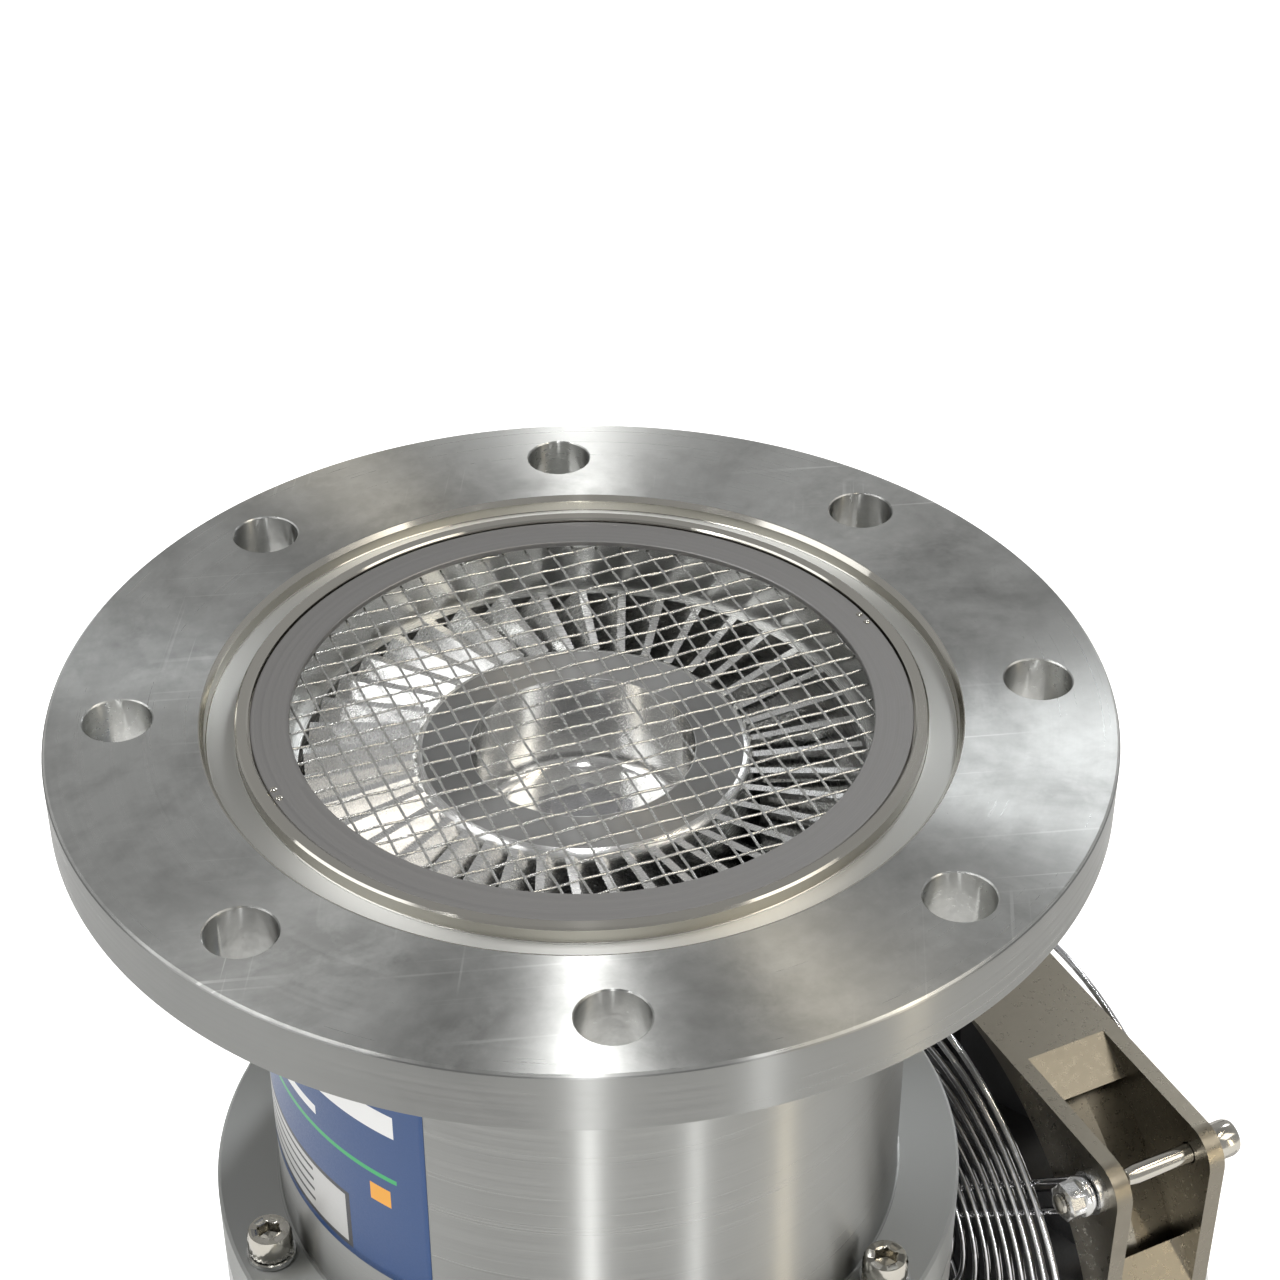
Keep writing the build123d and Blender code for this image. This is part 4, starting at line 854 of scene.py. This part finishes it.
class PUMP_OT_guards(bpy.types.Operator):
    """Build the two round-wire finger guards of the fan."""
    bl_idname = "pump.guards"
    bl_label = "Finger guards"
    bl_options = {"REGISTER", "UNDO"}

    def execute(self, context):
        sizes = context.scene.pump_sizes
        for node, name, flip, outer in (("inner_guard", "guard_pump_side", -1, PUMP_SIDE_GUARD_R),
                                        ("outer_guard", "guard_outer_side", 1, OUTER_SIDE_GUARD_R)):
            low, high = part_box(node)
            level = (low[0] + high[0]) / 2
            bm = bmesh.new()
            guard_wires(bm, sizes, level, flip, outer)
            add_object(name, bm, "guard_chrome", "housing", (node,), 60.0)
        return {"FINISHED"}


class PUMP_OT_fan_fasteners(bpy.types.Operator):
    """Build the fan's long screws with their threads, and the domed flange nuts."""
    bl_idname = "pump.fan_fasteners"
    bl_label = "Fan fasteners"
    bl_options = {"REGISTER", "UNDO"}

    def execute(self, context):
        low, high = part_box("fan_screws")
        nut_low, nut_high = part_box("fan_nuts")
        to_x = Matrix.Rotation(math.radians(90), 4, "Y")
        screws, nuts = bmesh.new(), bmesh.new()
        for side in (-1, 1):
            for up in (-1, 1):
                y, z = side * FAN_HOLE_OFFSET, FAN_CENTRE.z + up * FAN_HOLE_OFFSET
                seat = Matrix.Translation((high[0] - 5 * MM, y, z)) @ to_x @ turn_z(19 * side + 40 * up)
                cap_screw(screws, seat, 4 * MM, 7.6 * MM, 5 * MM, 3 * MM, high[0] - 5 * MM - low[0], 0.7 * MM)
                seat = Matrix.Translation((nut_low[0], y, z)) @ to_x
                size = nut_high[0] - nut_low[0]
                ring_stack(nuts, [(2.1 * MM, 0.0, None), (3.2 * MM, 0.0, None), (3.5 * MM, 0.4 * MM, "hex"),
                                  (3.5 * MM, size - 1.3 * MM, "hex"), (4.0 * MM, size - 1.1 * MM, None),
                                  (4.2 * MM, size - 0.8 * MM, None), (4.2 * MM, size, None),
                                  (2.1 * MM, size, None), (2.1 * MM, 0.0, None)], 48, seat)
        bmesh.ops.remove_doubles(nuts, verts=nuts.verts, dist=1e-7)
        add_object("fan_long_screws", screws, "screw_steel", "housing", ("fan_screws",), 40.0)
        add_object("fan_flange_nuts", nuts, "washer_steel", "housing", ("fan_nuts",), 35.0)
        return {"FINISHED"}


class PUMP_OT_label(bpy.types.Operator):
    """Lay the plain printed label on the casing."""
    bl_idname = "pump.label"
    bl_label = "Label"
    bl_options = {"REGISTER", "UNDO"}

    def execute(self, context):
        sizes = context.scene.pump_sizes
        colours = context.scene.pump_colours
        bm = bmesh.new()
        layer = bm.loops.layers.uv.new("Print")
        columns, rows = 72, 24
        radius = CASING_R + 0.09 * MM
        grid = []
        for row in range(rows + 1):
            line = []
            for column in range(columns + 1):
                u, v = column / columns, row / rows
                angle = math.pi + (u - 0.5) * sizes.label_spread
                height = sizes.label_low + v * (sizes.label_high - sizes.label_low)
                vert = bm.verts.new((radius * math.cos(angle), radius * math.sin(angle), height))
                line.append((vert, (u, v)))
            grid.append(line)
        for row in range(rows):
            for column in range(columns):
                corners = [grid[row][column], grid[row][column + 1], grid[row + 1][column + 1],
                           grid[row + 1][column]]
                face = bm.faces.new([corner[0] for corner in corners])
                for loop, corner in zip(face.loops, corners):
                    loop[layer].uv = corner[1]
        mesh = bpy.data.meshes.new("casing_label")
        bm.to_mesh(mesh)
        bm.free()
        piece = bpy.data.objects.new("casing_label", mesh)
        bpy.context.scene.collection.objects.link(piece)
        piece.data.materials.append(label_material("label_film", colours))
        for face in mesh.polygons:
            face.use_smooth = True
        film = piece.modifiers.new("Film", "SOLIDIFY")
        film.thickness = 0.08 * MM
        film.offset = -1.0
        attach(piece, "housing")
        return {"FINISHED"}


class PUMP_OT_stage(bpy.types.Operator):
    """Build the floor, the light and the camera."""
    bl_idname = "pump.stage"
    bl_label = "Stage"
    bl_options = {"REGISTER", "UNDO"}

    def execute(self, context):
        colours = context.scene.pump_colours
        scene = bpy.context.scene
        bm = bmesh.new()
        bmesh.ops.create_circle(bm, cap_ends=True, segments=96, radius=6.0)
        mesh = bpy.data.meshes.new("floor")
        bm.to_mesh(mesh)
        bm.free()
        floor = bpy.data.objects.new("floor", mesh)
        scene.collection.objects.link(floor)
        floor.location.z = CAD_BOX[0][2] - 0.0002
        floor.data.materials.append(floor_material("floor_paper", tuple(colours.backdrop)))
        ahead = Vector((math.cos(LOOK_ANGLE), math.sin(LOOK_ANGLE), 0.0))
        aside = Vector((ahead.y, -ahead.x, 0.0))
        # Name, metres to the right, ahead and up, width, length, watts and colour.
        lamps = (
            ("tube_middle", (0.0, 0.30, 2.3), 0.035, 1.6, 11.0, (1.0, 1.0, 1.0)),
            ("tube_left", (-1.25, -0.2, 2.1), 0.14, 2.0, 12.0, (1.0, 1.0, 1.0)),
            ("tube_warm", (0.85, 0.0, 2.2), 0.08, 0.8, 5.0, (1.0, 0.90, 0.72)),
            ("window_far", (1.15, 2.2, 2.0), 0.45, 0.7, 8.0, (0.94, 0.97, 1.0)),
            ("warm_side", (1.25, -0.42, 1.5), 0.8, 0.8, 5.5, (1.0, 0.94, 0.84)),
            ("key", (-1.6, -0.3, 1.4), 1.2, 1.0, 7.0, (1.0, 1.0, 1.0)),
            ("strip_front", (0.0, -1.5, 0.42), 0.05, 0.8, 5.5, (1.0, 1.0, 1.0)),
            ("strip_right", (0.77, -1.28, 0.42), 0.04, 0.8, 3.0, (1.0, 1.0, 1.0)),
            ("strip_warm", (1.3, -0.75, 0.42), 0.10, 0.8, 2.5, (1.0, 0.86, 0.62)),
        )
        for name, (side, forward, up), width, length, power, colour in lamps:
            light = bpy.data.lights.new(name, "AREA")
            light.shape = "RECTANGLE"
            light.size, light.size_y = width, length
            light.energy = power
            light.color = colour
            lamp = bpy.data.objects.new(name, light)
            scene.collection.objects.link(lamp)
            lamp.location = aside * side + ahead * forward + Vector((0, 0, up))
            if name.startswith("tube"):
                lamp.rotation_euler = (0.0, 0.0, LOOK_ANGLE - math.pi / 2)
            else:
                aim = Vector((0, 0, lamp.location.z if name.startswith("strip") else 0.15)) - lamp.location
                lamp.rotation_euler = aim.to_track_quat("-Z", "Y").to_euler()
            lamp.visible_camera = False
        world = bpy.data.worlds.new("studio")
        world.use_nodes = True
        tree = world.node_tree
        tree.nodes.clear()
        graph = Graph(tree)
        ray = graph.add("ShaderNodeTexCoord").outputs["Generated"]
        height = graph.add("ShaderNodeSeparateXYZ", {0: ray}).outputs[2]
        ramp = graph.add("ShaderNodeValToRGB", {"Fac": graph.ramp(height, -1.0, 1.0)})
        stops = ((0.0, 0.60), (0.5, 0.60), (0.56, 0.50), (0.64, 0.46), (0.80, 0.46), (1.0, 0.24))
        ramp.color_ramp.elements.remove(ramp.color_ramp.elements[1])
        for index, (spot, level) in enumerate(stops):
            stop = ramp.color_ramp.elements[0] if index == 0 else ramp.color_ramp.elements.new(spot)
            stop.position = spot
            stop.color = (level, level, level, 1.0)
        path = graph.add("ShaderNodeLightPath").outputs
        seen = graph.math("ADD", path["Is Camera Ray"], path["Is Transmission Ray"], True)
        colour = graph.mix(seen, graph.mix(path["Is Glossy Ray"], (0.45, 0.45, 0.45, 1.0), ramp.outputs[0]),
                           (1.0, 1.0, 1.0, 1.0))
        glow = graph.add("ShaderNodeBackground", {"Color": colour, "Strength": 1.0})
        graph.add("ShaderNodeOutputWorld", {"Surface": glow.outputs[0]})
        scene.world = world
        eye = bpy.data.cameras.new("camera")
        eye.lens = CAMERA_LENS
        eye.sensor_width = 36.0
        eye.clip_end = 50.0
        camera = bpy.data.objects.new("camera", eye)
        scene.collection.objects.link(camera)
        camera.location = CAMERA_PLACE
        camera.rotation_euler = (CAMERA_TILT, 0.0, CAMERA_TURN)
        scene.camera = camera
        scene.view_settings.view_transform = "Standard"
        return {"FINISHED"}


OPERATORS = (PUMP_OT_materials, PUMP_OT_nodes, PUMP_OT_inlet_flange, PUMP_OT_casing, PUMP_OT_screen,
             PUMP_OT_casing_screws, PUMP_OT_guards, PUMP_OT_fan_fasteners, PUMP_OT_label, PUMP_OT_stage)


class PUMP_PT_panel(bpy.types.Panel):
    """Lists the pump's settings and builders."""
    bl_idname = "PUMP_PT_panel"
    bl_label = "Pump"
    bl_space_type = "VIEW_3D"
    bl_region_type = "UI"
    bl_category = "Pump"

    def draw(self, context):
        for settings in (context.scene.pump_sizes, context.scene.pump_colours):
            for name in settings.bl_rna.properties.keys():
                if name not in ("rna_type", "name"):
                    self.layout.prop(settings, name)
        for operator in OPERATORS:
            self.layout.operator(operator.bl_idname)


CLASSES = (PumpSizes, PumpColours) + OPERATORS + (PUMP_PT_panel,)


def register():
    for cls in CLASSES:
        bpy.utils.register_class(cls)
    bpy.types.Scene.pump_sizes = bpy.props.PointerProperty(type=PumpSizes)
    bpy.types.Scene.pump_colours = bpy.props.PointerProperty(type=PumpColours)


def unregister():
    del bpy.types.Scene.pump_colours
    del bpy.types.Scene.pump_sizes
    for cls in reversed(CLASSES):
        bpy.utils.unregister_class(cls)


def main():
    register()
    bpy.ops.pump.materials()
    bpy.ops.pump.nodes()
    bpy.ops.pump.inlet_flange()
    bpy.ops.pump.casing()
    bpy.ops.pump.screen()
    bpy.ops.pump.casing_screws()
    bpy.ops.pump.guards()
    bpy.ops.pump.fan_fasteners()
    bpy.ops.pump.label()
    bpy.ops.pump.stage()
    bpy.context.view_layer.update()


if __name__ == "__main__":
    main()
